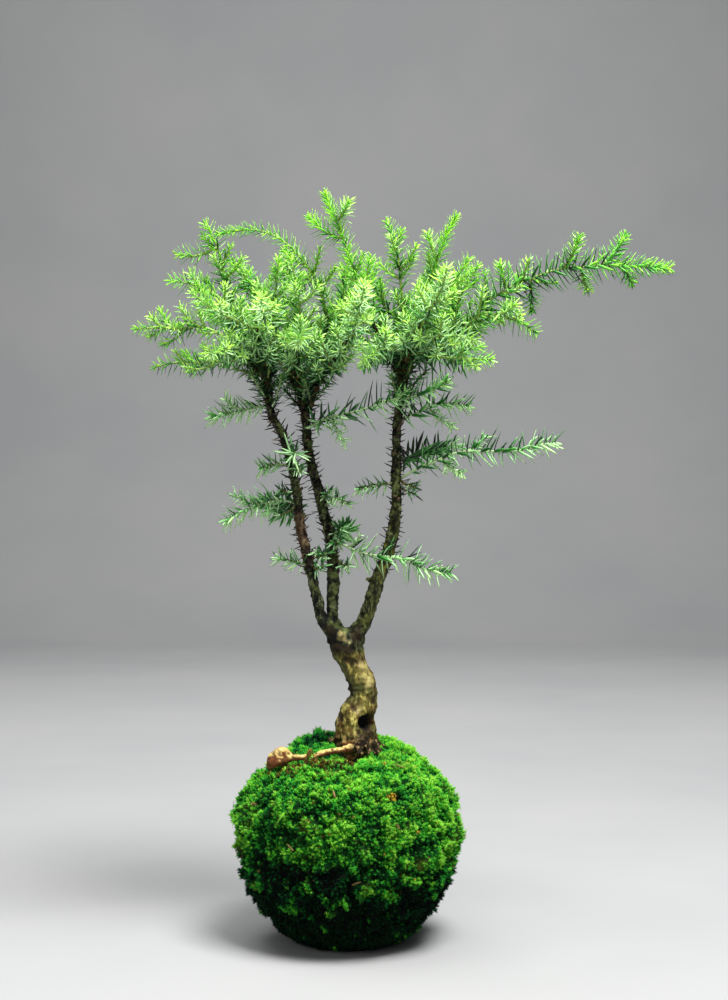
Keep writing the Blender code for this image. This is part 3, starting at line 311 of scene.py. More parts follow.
# A needle's rings: place along it, half-width, height of the keel and of the hollow top in shares of
# its width and depth, and the change of tone. Its underside is one zone and its pale top another.
NEEDLE_RINGS = ((0.0, 0.36, -0.5, 0.25, -0.2), (0.3, 0.5, -0.55, 0.0, -0.04),
                (0.72, 0.36, -0.4, -0.1, 0.04))
TWIG_ZONE, EDGE_ZONE, KEEL_ZONE, TOP_ZONE = 0.02, 0.36, 0.3, 1.0
TIP_SHADE, TIP_ZONE = 0.1, 0.5
KEEL_SHADE = 0.16                   # how much darker a needle's underside is, as painted shade
LAST_WHORL = 0.4                    # how far back from a shoot's tip the last whorl stands
WHORL_TWIST = 0.22                  # how far each whorl is turned on from an even alternation
# How uneven the needles are: turn in radians, lean in degrees, length as a share.
TURN_SPREAD, LEAN_SPREAD, SIZE_SPREAD = 0.13, 7, 0.09
LOWER_LOOSENESS = 1.8               # on the lower sprays they are this much more uneven
LOWER_LEAN = 6                      # and lean out this many degrees less
NEEDLE_LIFT = 0.08                  # how much all needles turn up to the light
SHORT_BASE, SHORT_BASE_REACH = 0.35, 9  # how much shorter, and how far, near a lower spray's foot
CROWN_FLOOR = 287.0                 # below this the needles round the stems are darkened as painted shade
CROWN_HEART = 26                    # how far from a stem's top that painted shade reaches
STEM_TOPS = np.array(((-38.5, 0), (-24, 6), (27, 0)))
# How sprays grow: in the crown, on the stems below it, and how single sprays differ from both.
CROWN_HABIT = {"lower": False, "close": 0.85, "stout": 0.76, "vigour": 1.0, "bare": 3.0, "side": 0.95,
               "freshness_and_shade": 0.9}
LOWER_HABIT = {"lower": True, "close": 0.78, "stout": 1.12, "vigour": 1.0, "bare": 3.0, "side": 0.75,
               "freshness_and_shade": 0.48}
HABITS = {
    "top": {"young": 40, "vigour": 1.15, "close": 0.55},
    "upper_right": {"young": 16, "vigour": 1.05, "close": 0.6},
    "arch": {"young": 52, "vigour": 0.95, "close": 0.7, "stout": 0.8},
    "long_right": {"young": 27, "vigour": 1.3, "close": 0.62, "stout": 1.05, "freshness_and_shade": 0.75, "side": 0.75},
    "lower_right": {"vigour": 1.2, "stout": 0.9},
    "right_low": {"vigour": 1.2, "stout": 0.9},
    "left_second": {"vigour": 1.15},
    "left_up": {"vigour": 1.15},
    "left_stem_star": {"vigour": 1.15, "close": 1.7, "stout": 0.7, "freshness_and_shade": 0.02},
    "left_stem_small": {"freshness_and_shade": 0.1},
    "left_stem_lowest": {"freshness_and_shade": 0.15},
    "right_stem_small": {"freshness_and_shade": 0.05, "vigour": 0.85},
    "middle_stem_small": {"freshness_and_shade": 0.2, "vigour": 0.7},
    "middle_stem_lower": {"bare": 19, "side": 0.3},
    "right_stem_long": {"bare": 7},
    # The sprays at the back get a low freshness, which paints them darker as painted shade.
    "right_stem_back": {"freshness_and_shade": 0.25},
    "left_stem_back": {"freshness_and_shade": 0.25},
    "middle_stem_back": {"freshness_and_shade": 0.25},
}
# Short dark tufts on the stems: x, y and z of the foot, and reach.
STEM_TUFTS = (((-9, 4, 189), (5, -10, 1)), ((-10, 3, 184), (-5, -9, 0)), ((-5, 3, 180), (5, -9, -2)),
              ((-17, -2, 177), (5, -9, 1)), ((-16, -2, 182), (6, -8, 2)), ((-25, -2, 213), (-7, -6, 1)),
              ((-24, -2, 207), (-8, -4, -5)), ((-13, 5, 210), (4, -9, 3)), ((-27, -2, 226), (5, -9, -3)),
              ((24, -1, 219), (8, -6, -4)), ((24, -1, 216), (8, 3, -4)), ((-8, 5, 193), (5, -9, 3)))
TWIG_RADIUS, TWIG_TIP_RADIUS = 0.72, 0.42
EXTRA_SHOOT_STEP, EXTRA_SHOOT_REACH = 6.0, 12.5
INNER_SHOOT_STEP, INNER_SHOOT_REACH = 2.5, 17
INNER_FROM = 251.0                  # height from which the wood inside the crown is leafy
# How the main twigs are bent apart: the room that each one wants and how the pushes add up.
NEEDLE_ROOM, SPREAD_ROUNDS = 7.0, 40
PUSH_SHARE, LONGEST_PUSH = 0.25, 0.5

# The studio, in metres: a floor that sweeps up into a backdrop, soft boxes and the camera.
FLOOR_FRONT, FLOOR_HALF_WIDTH = -2.5, 3.0
SWEEP_FROM, SWEEP_RADIUS, SWEEP_STEPS = 1.6, 0.7, 16
BACKDROP_TOP = 2.6
ROOM_COLOUR, ROOM_STRENGTH = (0.9, 0.95, 1.0, 1), 0.09
# Name, place, point it faces, size and power.
SOFT_BOXES = (("key_softbox", (0.3, -0.4, 1.15), (0, 0, 0.2), 0.5, 25.0),
              ("top_softbox", (-0.25, 0.1, 1.2), (0, 0, 0.2), 0.8, 9.0),
              ("fill_softbox", (-0.6, -1.2, 0.6), (0, 0, 0.2), 0.8, 3.8),
              ("backdrop_softbox", (0.0, 0.75, 1.3), (0, 2.3, 0.7), 1.2, 13.0))
CAMERA_PLACE = (0.0076, -0.8, 0.209)
CAMERA_SENSOR, CAMERA_LENS = 36, 60.5


class Path:
    """A smooth line through a few points, with a frame carried along it without twist."""

    FINE_STEPS = 12
    FIRST_ACROSS = (0.3, 1.0, 0.2)

    def __init__(self, points):
        points = np.array(points, float)
        padded = np.vstack((2 * points[0] - points[1], points, 2 * points[-1] - points[-2]))
        t = np.linspace(0, 1, self.FINE_STEPS, endpoint=False)[:, None]
        pieces = []
        for a, b, c, d in zip(padded, padded[1:], padded[2:], padded[3:]):
            pieces.append(0.5 * (2 * b + (c - a) * t + (2 * a - 5 * b + 4 * c - d) * t ** 2
                                 + (3 * b - a - 3 * c + d) * t ** 3))
        self.rows = np.vstack(pieces + [points[-1:]])
        line = self.rows[:, :3]
        steps = np.linalg.norm(np.diff(line, axis=0), axis=1)
        self.reach = np.concatenate(([0], np.cumsum(steps)))
        self.length = self.reach[-1]
        self.tangents = unit(np.gradient(line, self.reach, axis=0))
        across = np.cross(self.tangents[0], self.FIRST_ACROSS)
        self.normals = np.empty_like(line)
        for k, tangent in enumerate(self.tangents):
            across = across - tangent * (across @ tangent)
            across /= np.linalg.norm(across)
            self.normals[k] = across

    def at(self, places):
        """Points, tangents, normals, sides and radii (if the path has them) at lengths along it."""
        places = np.atleast_1d(places)
        rows, tangents, normals = (
            np.column_stack([np.interp(places, self.reach, column) for column in table.T])
            for table in (self.rows, self.tangents, self.normals))
        tangents = unit(tangents)
        normals = square_to(tangents, normals)
        return rows[:, :3], tangents, normals, np.cross(tangents, normals), rows[:, 3:]

    def one(self, place):
        """The same for one length, as single rows."""
        return [row[0] for row in self.at(place)]

    def points(self, step):
        """Points about a step apart, from one end to the other."""
        count = max(2, round(self.length / step) + 1)
        return self.at(np.linspace(0, self.length, count))[0]


class Pile:
    """Points and faces gathered for one mesh.

    Each point has a tone and a zone from 0 to 1, which the materials turn into its colour. The
    same two numbers lay out the map that the colours are baked through.
    """

    def __init__(self):
        self.points, self.faces, self.tones, self.zones = [], [], [], []
        self.count = 0

    def add(self, points, faces, tones, zones):
        points = np.asarray(points, float).reshape(-1, 3)
        for group in faces:
            group = np.asarray(group, int)
            self.faces += (group.reshape(-1, group.shape[-1]) + self.count).tolist()
        self.points.append(points)
        self.tones.append(np.broadcast_to(tones, len(points)))
        self.zones.append(np.broadcast_to(zones, len(points)))
        self.count += len(points)

    def build(self, name, material, mapped=True):
        mesh = bpy.data.meshes.new(name)
        mesh.from_pydata((np.vstack(self.points) * MM).tolist(), [], self.faces)
        mesh.update()
        tones = np.clip(np.concatenate(self.tones), 0, 1)
        zones = np.clip(np.concatenate(self.zones), 0, 1)
        store(mesh, "tone", tones)
        store(mesh, "zone", zones)
        if mapped:
            corners = np.empty(len(mesh.loops), int)
            mesh.loops.foreach_get("vertex_index", corners)
            spots = np.column_stack((tones, zones))[corners] * (1 - 2 * MAP_MARGIN) + MAP_MARGIN
            layer = mesh.uv_layers.new(name="OFBake")
            layer.data.foreach_set("uv", spots.ravel().astype(np.float32))
        mesh.shade_smooth()
        mesh.materials.append(material)
        piece = bpy.data.objects.new(name, mesh)
        bpy.context.scene.collection.objects.link(piece)
        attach(piece, "root")
        return piece


def store(mesh, name, values):
    """Keep one number for each point of a mesh, for the materials to read."""
    layer = mesh.attributes.new(name, "FLOAT", "POINT")
    layer.data.foreach_set("value", np.asarray(values, np.float32))


def ease(value):
    """0 below 0, 1 above 1, and a soft step between."""
    value = np.clip(value, 0, 1)
    return value * value * (3 - 2 * value)


def unit(rows):
    return rows / np.maximum(np.linalg.norm(rows, axis=-1, keepdims=True), TINY)


def square_to(ways, rows):
    """The part of each row that stands square to its way, as a unit direction."""
    return unit(rows - ways * (rows * ways).sum(axis=1)[:, None])


def turned(turns, first, second):
    """Directions turned by some angles from a first one towards a second."""
    return np.cos(turns)[..., None] * first + np.sin(turns)[..., None] * second


def draws(rng, rows, columns):
    """Seeded normal draws, each kept within a few spreads."""
    table = [[rng.gauss(0, 1) for _ in range(columns)] for _ in range(rows)]
    return np.clip(table, -WIDEST_DRAW, WIDEST_DRAW)


def noise_at(points, size, offset=0.0):
    """Smooth noise from -1 to 1 at each point, with features of about the given size."""
    return np.array([noise.noise(p) for p in (points / size + offset).tolist()])


def crests_at(points, size):
    """0 in the clefts between rounded tufts of the given size, 1 on top of them."""
    near = [noise.voronoi(p)[0] for p in (points / size).tolist()]
    return ease(np.array([second - first for first, second, _, _ in near]) / CLEFT_WIDTH)


def distances_to(points, spots):
    """From each point to the nearest of a few spots."""
    return np.array([np.linalg.norm(spots - p, axis=1).min() for p in points])


def ring_faces(rings, sides):
    """Quads between rings of points, and fans from the two end points that follow the rings."""
    here, after = np.arange(sides), (np.arange(sides) + 1) % sides
    low = np.arange(rings - 1)[:, None] * sides
    quads = np.stack([low + here, low + after, low + after + sides, low + here + sides], axis=-1)
    end, last = rings * sides, (rings - 1) * sides
    fans = [(end, b, a) for a, b in zip(here, after)]
    fans += [(end + 1, last + a, last + b) for a, b in zip(here, after)]
    return quads, fans


def tube(pile, path, radius_at, sides, step, tone=0.5, zone=0.5):
    """A round tube along a path, closed at both ends."""
    places = np.linspace(0, path.length, max(3, round(path.length / step) + 1))
    centres, _, normals, across, _ = path.at(places)
    radii = np.array([radius_at(share) for share in places / path.length])
    turns = 2 * math.pi * np.arange(sides) / sides
    ways = turned(turns, normals[:, None], across[:, None])
    points = (centres[:, None] + ways * radii[:, None, None]).reshape(-1, 3)
    ripple = 3 * np.tile(turns, len(places))
    pile.add(np.vstack((points, centres[:1], centres[-1:])), ring_faces(len(places), sides),
             np.append(tone + TONE_RIPPLE * np.cos(ripple), (tone, tone)),
             np.append(zone + ZONE_RIPPLE * np.sin(ripple), (zone, zone)))


def add_needles(pile, feet, ways, ups, sizes, tones, bend=0.05, stout=1.0):
    """Awl-shaped needles, keeled below, with a shallow pale channel on top."""
    across = unit(np.cross(ways, ups))
    ups = np.cross(across, ways)
    plump = ((NEEDLE_STOUTNESS + STOUTER_WITH_LENGTH * sizes) * stout)[:, None]
    width, depth = NEEDLE_WIDTH * plump, NEEDLE_DEPTH * plump
    long = sizes[:, None]
    columns, shifts, zones = [], [], []
    for share, half, keel, top, shift in NEEDLE_RINGS:
        centre = feet + ways * share * long + ups * bend * share ** 2 * long
        for side, height, zone in ((-half, 0, EDGE_ZONE), (0, keel, KEEL_ZONE), (half, 0, EDGE_ZONE),
                                   (0, top, TOP_ZONE)):
            columns.append(centre + across * side * width + ups * height * depth)
            # the keel's points are darkened as painted shade
            shifts.append(shift - KEEL_SHADE * (zone == KEEL_ZONE))
            zones.append(zone)
    columns.append(feet + ways * long + ups * bend * long)
    shifts.append(TIP_SHADE)
    zones.append(TIP_ZONE)
    rings, per = len(NEEDLE_RINGS), len(columns)
    quads = [(4 * r + k, 4 * r + (k + 1) % 4, 4 * r + 4 + (k + 1) % 4, 4 * r + 4 + k)
             for r in range(rings - 1) for k in range(4)]
    tips = [(4 * rings - 4 + k, 4 * rings - 4 + (k + 1) % 4, 4 * rings) for k in range(4)]
    starts = (np.arange(len(feet)) * per)[:, None, None]
    pile.add(np.stack(columns, axis=1), (np.array(quads) + starts, np.array(tips) + starts),
             (tones[:, None] + np.array(shifts)).ravel(), np.tile(zones, len(feet)))


def spread_apart(lines, wood):
    """Bend main twigs that pass closer than their needles' room away from each other."""
    owner = np.concatenate([[k] * len(line) for k, line in enumerate(lines)])
    reach = np.concatenate([np.linspace(0, 1, len(line)) * (len(line) - 1) for line in lines])
    free = np.clip((reach - 1) / 2, 0, 1)[:, None]
    spots = np.vstack(lines)
    on_others = owner[:, None] != owner[None, :]

    def push_from(others, counted):
        offsets = spots[:, None, :] - others[None, :, :]
        far = np.linalg.norm(offsets, axis=2) + 1e-6
        push = np.where(counted & (far < NEEDLE_ROOM), (NEEDLE_ROOM - far) / far, 0) * PUSH_SHARE
        return (offsets * push[:, :, None]).sum(axis=1)

    for _ in range(SPREAD_ROUNDS):
        move = push_from(spots, on_others) + push_from(wood, True)
        size = np.linalg.norm(move, axis=1)[:, None] + 1e-6
        spots = spots + move / size * np.minimum(size, LONGEST_PUSH) * free
    return [spots[owner == k] for k in range(len(lines))]


def by_age(column, distance):
    """One column of the table of needles by age, at some distances back from the tip."""
    return np.interp(distance, NEEDLE_AGES[:, 0], NEEDLE_AGES[:, column])


def add_whorls(pile, path, first, last, rng, vigour, freshness_and_shade, lower=False, young=0.0, close=0.85,
               stout=0.76):
    """Whorls of three needles along a path from one length to another, the youngest last."""
    def aged(distance):
        slow = np.minimum(distance, young) * YOUNG_AGEING
        return slow + np.maximum(distance - young, 0) + LOWER_START * lower

    places = []
    place = last - LAST_WHORL
    while place > first:
        places.append(place)
        place -= by_age(2, aged(last - place)) * close
    if not places:
        return
    places = np.repeat(places, 3)
    whorl, third = np.arange(len(places)) // 3, np.arange(len(places)) % 3
    centres, tangents, normals, across, radii = path.at(places)
    chance = draws(rng, len(places), 4)
    loose = LOWER_LOOSENESS if lower else 1.0
    turns = (math.pi / 3 + WHORL_TWIST) * whorl + 2 * math.pi / 3 * third
    outward = turned(turns + TURN_SPREAD * loose * chance[:, 0], normals, across)
    age = aged(last - places)
    lean = by_age(3, age) - LOWER_LEAN * lower + LEAN_SPREAD * loose * chance[:, 1]
    ways = unit(turned(np.radians(lean), tangents, outward) + np.array((0, 0, NEEDLE_LIFT)))
    sizes = by_age(1, age * (LOWER_AGEING if lower else 1)) * vigour
    sizes *= 1 + SIZE_SPREAD * loose * chance[:, 2]
    feet = centres + outward * (radii * 0.8 if radii.size else TWIG_TIP_RADIUS * 0.6)
    lively = np.interp(age, LOWER_FADING if lower else CROWN_FADING, LIVELINESS)
    if lower:
        sizes *= 1 - SHORT_BASE * np.exp(-places / SHORT_BASE_REACH)
        # Needles pointing up are darker and those pointing down lighter: painted shade and painted light.
        tones = 0.28 + 0.44 * lively + 0.6 * (freshness_and_shade - 0.5) + 0.17 * chance[:, 3] - 0.22 * ways[:, 2]
    else:
        # Painted shade: needles low in the crown round the stem tops, and needles pointing down, are
        # darker.
        inner = np.exp(-(distances_to(centres[:, :2], STEM_TOPS) / CROWN_HEART) ** 2)
        painted_shade = 0.34 * inner * ease((CROWN_FLOOR - centres[:, 2]) / 12)
        painted_shade += 0.28 * np.clip(-ways[:, 2] - 0.15, 0, 1)
        tones = 0.375 + 0.52 * lively * freshness_and_shade + 0.1 * (freshness_and_shade - 0.5) + 0.16 * chance[:, 3] - painted_shade
    add_needles(pile, feet, ways, tangents, sizes, tones, stout=stout)


def leafy_twig(pile, path, bare, rng, vigour=1.0, freshness_and_shade=1.0, **habit):
    """A green twig with its whorls."""
    def radius_at(share):
        return TWIG_RADIUS + (TWIG_TIP_RADIUS - TWIG_RADIUS) * share

    tube(pile, path, radius_at, TWIG_SIDES, TWIG_STEP, 0.4 + 0.3 * freshness_and_shade, TWIG_ZONE)
    add_whorls(pile, path, bare, path.length, rng, vigour, freshness_and_shade, **habit)


def shoots_along(path, rng, first, last, step, reach):
    """Short shoots in a golden-angle order along a path, each as its own path."""
    shoots = []
    place = first + rng.uniform(0, step)
    turn = rng.uniform(0, 2 * math.pi)
    while place < last:
        centre, tangent, normal, side, _ = path.one(place)
        turn += GOLDEN_TURN
        outward = math.cos(turn) * normal + math.sin(turn) * side
        length = reach * rng.uniform(0.7, 1.15) * min(1, 0.45 + (path.length - place) / 50)
        way = unit(outward + 0.8 * tangent + np.array((0, 0, 0.35))) * length
        shoots.append(Path((centre, centre + way * 0.5 - (0, 0, 0.6), centre + way + (0, 0, 1))))
        place += step * rng.uniform(0.75, 1.25)
    return shoots


def make_sprays(material):
    """Each spray of the table as one leafy piece that stands for its node."""
    wood = np.vstack([Path(points).points(5) for points in (TRUNK, *STEMS, *BRANCHES)])
    lines = spread_apart([Path(row[0]).points(6) for row in SPRAYS.values()], wood)
    for (name, (_, sides)), line in zip(SPRAYS.items(), lines):
        rng = random.Random(name)
        lower = "stem" in name
        habit = {**(LOWER_HABIT if lower else CROWN_HABIT), **HABITS.get(name, {})}
        vigour, freshness_and_shade, bare, side = [habit.pop(key) for key in ("vigour", "freshness_and_shade", "bare", "side")]
        pile = Pile()
        main = Path(line)
        leafy_twig(pile, main, bare, rng, vigour, freshness_and_shade, **habit)
        for share, reach in sides:
            start = main.one(main.length * share)[0]
            rise = np.array((0, 0, 0.12 * np.linalg.norm(reach)))
            shoot = Path((start, start + np.array(reach) * 0.5 - rise, start + reach))
            leafy_twig(pile, shoot, 1.5, rng, vigour * side, freshness_and_shade * min(1, 0.4 + side),
                       **{**habit, "young": 0.0})
        if not lower:
            last = main.length * 0.4 if "young" in habit else main.length - 11
            for shoot in shoots_along(main, rng, 6, last, EXTRA_SHOOT_STEP, EXTRA_SHOOT_REACH):
                leafy_twig(pile, shoot, 1.0, rng, 0.85, freshness_and_shade)
        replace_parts(pile.build("leafy_" + name, material), "spray_" + name)


def make_inner_needles(material):
    """The older needles and short shoots inside the crown, then the short dark tufts on the stems."""
    rng = random.Random("inner crown")
    pile = Pile()
    for points in (*BRANCHES, *STEMS):
        branch = Path(points)
        first = max(branch.length * 0.12, np.interp(INNER_FROM, branch.rows[:, 2], branch.reach))
        add_whorls(pile, branch, first, branch.length, rng, 0.95, 0.1)
        shoots = shoots_along(branch, rng, first, branch.length, INNER_SHOOT_STEP, INNER_SHOOT_REACH)
        for shoot in shoots:
            leafy_twig(pile, shoot, 1.0, rng, 0.9, 0.65)
    pile.build("leafy_inner_crown", material)
    pile = Pile()
    for foot, reach in STEM_TUFTS:
        foot, reach = np.array(foot, float), np.array(reach, float)
        shoot = Path((foot, foot + reach * 0.5 - (0, 0, 1), foot + reach))
        leafy_twig(pile, shoot, 2.5, rng, 0.72, -0.25, lower=True, close=0.8, stout=0.9)
    pile.build("leafy_stem_tufts", material)


def make_bark(material):
    """The fused wood with bark relief and the hollow at its foot."""
    pile = Pile()
    for points in (TRUNK, *STEMS, *BRANCHES, SURFACE_ROOT, *BASE_ROOTS, *PRUNED_STUBS, *fine_roots()):
        path = Path(points)
        tube(pile, path, lambda share: path.one(share * path.length)[4][0], WOOD_SIDES, WOOD_STEP)
    for start, end, size in (*stem_stubs(), *trunk_knobs()):
        tube(pile, Path((start, end)), lambda share: size * (1 - 0.5 * share), STUB_SIDES, WOOD_STEP)
    wood = pile.build("bark", material, mapped=False)
    points, normals = fuse(wood, material)
    relief, trimmed = bark_relief(points)
    inward = (points - HOLLOW_MIDDLE) / HOLLOW_RADII
    depth = (HOLLOW_RIM - np.linalg.norm(inward, axis=1)) * HOLLOW_STEEPNESS
    sunk = ease(depth + 0.3 * noise_at(points, 2.6, 22))
    patches = 0.35 * noise_at(points, 2.4, 61)
    for *middle, size, pale in BARK_PATCHES:
        patches += pale * np.exp(-((points - middle) ** 2).sum(axis=1) / (size * size))
    points += normals * (relief - trimmed)[:, None]
    points -= HOLLOW_WAY * (sunk * HOLLOW_DEPTH)[:, None]
    wood.data.vertices.foreach_set("co", (points * MM).ravel())
    wood.data.update()
    wood.data.shade_smooth()
    store(wood.data, "hollow", sunk)
    store(wood.data, "patches", np.clip(0.5 + 0.5 * patches, 0, 1))
    store(wood.data, "relief", np.clip(relief * 0.6 + 0.5, 0, 1))
    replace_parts(wood, "trunk")


def fuse(piece, material):
    """Melt a piece's tubes into one skin; give its points and outward ways."""
    remesh = piece.modifiers.new("fuse", "REMESH")
    remesh.mode = "VOXEL"
    remesh.voxel_size = BARK_VOXEL * MM
    smooth = piece.modifiers.new("soften", "SMOOTH")
    smooth.factor = 0.5
    smooth.iterations = 3
    evaluated = piece.evaluated_get(bpy.context.evaluated_depsgraph_get())
    fused = bpy.data.meshes.new_from_object(evaluated)
    piece.modifiers.clear()
    piece.data = fused
    fused.materials.clear()
    fused.materials.append(material)
    read = []
    for measure in ("co", "normal"):
        values = np.empty(len(fused.vertices) * 3)
        fused.vertices.foreach_get(measure, values)
        read.append(values.reshape(-1, 3))
    return read[0] / MM, read[1]


def bark_relief(points):
    """How far the bark stands out at each point, and how much is trimmed off the stems."""
    x, y, z = points.T
    trunk = np.clip((148 - z) / 8, 0, 1) * np.clip((np.hypot(x - 3.7, y) < 13) * (z - 88) / 6, 0, 1)
    stems = np.clip((z - 145) / 10, 0, 1)
    where = {"all": 1.0, "trunk": trunk, "stems": stems,
             "knob": np.clip((-22 - x) / 4, 0, 1) * (z < 100),
             "wrinkled": trunk * np.exp(-((z - 119) / 4.0) ** 2),
             "foot": trunk * np.clip((101 - z) / 6, 0, 1)}
    relief = 0.0
    for stretched, size, offset, heights in BARK_RELIEF:
        height = sum(rise * where[part] for part, rise in heights.items())
        relief = relief + noise_at(points * stretched, size, offset) * height
    return relief, STEM_TRIM * stems * (1 - ease((z - 250) / 15))


def fine_roots():
    """Thin roots that spread from the trunk's foot over the moss, mostly to the right and front."""
    rng = random.Random("fine roots")
    roots = []
    for k in range(FINE_ROOTS):
        turn = math.radians(FINE_ROOT_BEARING + FINE_ROOT_STEP * k + rng.uniform(-7, 7))
        way = np.array((math.cos(turn), math.sin(turn), 0))
        bend = np.array((-way[1], way[0], 0)) * rng.uniform(-2.5, 2.5)
        start = TRUNK_FOOT - np.array((0, 0, rng.uniform(0, 4))) + way * FINE_ROOT_START
        reach = rng.uniform(*FINE_ROOT_REACH)
        middle = start + way * reach * 0.35 + bend - (0, 0, start[2] - FINE_ROOT_MIDDLE)
        end = start + way * reach + bend * 1.5 - (0, 0, start[2] - FINE_ROOT_END)
        roots.append([(*spot, size) for spot, size in zip((start, middle, end), FINE_ROOT_RADII)])
    return roots


def stem_stubs():
    """Short stubs and leaf scars all along the stems: start, end and radius of each."""
    rng = random.Random("stubs")
    rows = []
    for stem in STEMS:
        path = Path(stem)
        place, turn = 6.0, rng.uniform(0, 6)
        while place < path.length - 4:
            centre, tangent, normal, side, radius = path.one(place)
            turn += GOLDEN_TURN + rng.uniform(-0.4, 0.4)
            outward = math.cos(turn) * normal + math.sin(turn) * side + 0.3 * tangent
            end = centre + outward * (radius[0] + rng.uniform(0.0, 0.9))
            rows.append((centre + outward * radius[0] * 0.3, end, rng.uniform(0.6, 1.1)))
            place += STUB_STEP * rng.uniform(0.5, 1.5)
    return rows


def trunk_knobs():
    """Start, end and radius of each knob on the trunk, grown outward from its middle line."""
    line = Path(TRUNK).points(1.0)
    rows = []
    for middle, size in TRUNK_KNOBS:
        middle = np.array(middle)
        heart = line[np.abs(line[:, 2] - middle[2]).argmin()]
        rows.append((heart + (middle - heart) * 0.4, middle, size))
    return rows


def make_spines(material):
    """Dry spines and needle stubs left along the stems where old needles fell."""
    rng = random.Random(SEED)
    pile = Pile()
    for stem, count in zip(STEMS, SPINES):
        path = Path(stem)
        chance = draws(rng, count, 4)
        spined = path.length - np.interp(SPINES_FROM, path.rows[:, 2], path.reach)
        places = path.length - spined * ((np.arange(count) + 0.5) / count) ** 1.25
        centres, tangents, normals, across, radii = path.at(places)
        outward = turned(np.arange(count) * GOLDEN_TURN + 0.2 * chance[:, 0], normals, across)
        ways = unit(outward + tangents * (0.35 + 0.3 * chance[:, 1:2]) - np.array((0, 0, 0.1)))
        sizes = SPINE_LENGTH + SPINE_SPREAD * chance[:, 2]
        add_needles(pile, centres + outward * radii * 0.7, ways, tangents, sizes,
                    0.3 + 0.2 * chance[:, 3], bend=0.02, stout=1.6)
    pile.build("stem_spines", material)


def patches_at(points):
    """How far the tufts (above 0) and sunken places (below 0) of the near side act at each point."""
    strength = np.zeros(len(points))
    for x, z, size, value in MOSS_PATCHES:
        far = ((points[:, 0] - x) / (1.5 * size)) ** 2 + ((points[:, 2] - z) / size) ** 2
        strength += value * np.exp(-far) * (points[:, 1] < 0)
    return strength


def moss_outline():
    """The half outline of the moss as a smooth line, over the x axis."""
    return Path([(radius, 0, height) for radius, height in MOSS_OUTLINE])


def moss_surface(shares, turns):
    """Points, outward ways and crest heights of the moss at shares of its outline and turns round it."""
    outline = moss_outline()
    rows, tangents = outline.at(shares * outline.length)[:2]
    outward = np.column_stack((np.cos(turns), np.sin(turns), np.zeros_like(turns)))
    up = np.array((0, 0, 1))
    spots = outward * rows[:, :1] + up * rows[:, 2:3]
    ways = unit(outward * tangents[:, 2:3] - up * tangents[:, :1])
    lump = noise_at(spots, MOSS_LUMP_SIZE) * MOSS_LUMP + noise_at(spots, MOSS_TUFT_SIZE, 9) * MOSS_TUFT
    warp = np.column_stack([noise_at(spots, MOSS_WARP_SIZE, k * 17) for k in (1, 2, 3)])
    warped = spots + warp * MOSS_WARP
    pillow, cushion = crests_at(warped, PILLOW_SIZE), crests_at(warped, CUSHION_SIZE)
    clump = noise_at(spots, CLUMP_SIZE, 21) + 0.45 * noise_at(spots, CLUMP_SIZE * 0.42, 27)
    rise = (pillow - 0.75) * PILLOW_RISE + (cushion - 0.6) * CUSHION_RISE + clump * CLUMP_RISE * 0.5
    patches = patches_at(spots)
    rise += noise_at(spots, 1.6, 40) * 0.5 + PATCH_RISE * patches
    lumpy = ease(shares * 5) * ease((rows[:, 0] - 6) / 8)
    points = spots + ways * ((lump + rise - MOSS_INSET) * lumpy)[:, None]
    top = ease((rows[:, 2] - 72) / 14)
    for x, y, height, size in MOSS_MOUNDS:
        far = ((spots[:, 0] - x) ** 2 + (spots[:, 1] - y) ** 2) / (2 * size * size)
        points[:, 2] += height * np.exp(-far) * top
    root = Path(SURFACE_ROOT).points(1.0)[:, :2]
    near = 1 - ease((distances_to(spots[:, :2], root) - 2.0) / 4.5)
    points[:, 2] -= ROOT_BED * near * top
    # The crest height also sets the moss's tone: low in the clefts and sunken places, as painted shade.
    height = 0.3 * pillow + 0.16 * cushion + 0.34 + 0.44 * clump + 0.2 * noise_at(spots, 1.3, 44)
    height += 0.25 * noise_at(spots, 15.0, 3)
    height += 0.8 * patches
    return points, ways, np.clip(height, 0, 1)


def make_moss_mat(material):
    """The dark mat of moss over the soil."""
    around = 2 * math.pi * np.arange(MAT_COLUMNS) / MAT_COLUMNS
    shares, turns = np.meshgrid(np.linspace(0, 1, MAT_ROWS), around, indexing="ij")
    points, _, height = moss_surface(shares.ravel(), turns.ravel())
    pile = Pile()
    pile.add(np.vstack((points, *MAT_ENDS)), ring_faces(MAT_ROWS, MAT_COLUMNS),
             np.append(moss_tone(points, height, 0), (0.3, 0.3)), 0.5)
    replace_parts(pile.build("moss_mat", material, mapped=False), "moss_cover")


def make_moss_sprigs(material):
    """The thousands of leafy sprigs and fronds that stand on the mat, in bands from the floor up."""
    root = np.vstack([Path(points).points(1.0) for points in (SURFACE_ROOT, *fine_roots())])
    bounds = np.linspace(*SPRIGS_BETWEEN, SPRIG_PIECES + 1)
    for k, (low, high) in enumerate(zip(bounds, bounds[1:]), 1):
        rng = random.Random(SEED + k)
        pile = Pile()
        add_sprigs(pile, *scattered(SPRIGS_PER_PIECE, rng, low, high), rng, root)
        add_fronds(pile, *scattered(FRONDS // SPRIG_PIECES, rng, low, high), rng, root)
        pile.build(f"moss_sprigs_{k}", material)


def scattered(count, rng, low, high):
    """Shares along the moss outline, evenly spread over its area, and turns round it."""
    outline = moss_outline()
    places = np.linspace(0, 1, 400)
    area = np.cumsum(outline.at(places * outline.length)[0][:, 0])
    area = (area - area[0]) / (area[-1] - area[0])
    first, final = np.interp((low, high), places, area)
    shares = np.interp(first + (final - first) * (np.arange(count) + 0.5) / count, area, places)
    chance = draws(rng, count, 2)
    return shares + 0.002 * chance[:, 0], np.arange(count) * GOLDEN_TURN + 0.02 * chance[:, 1]


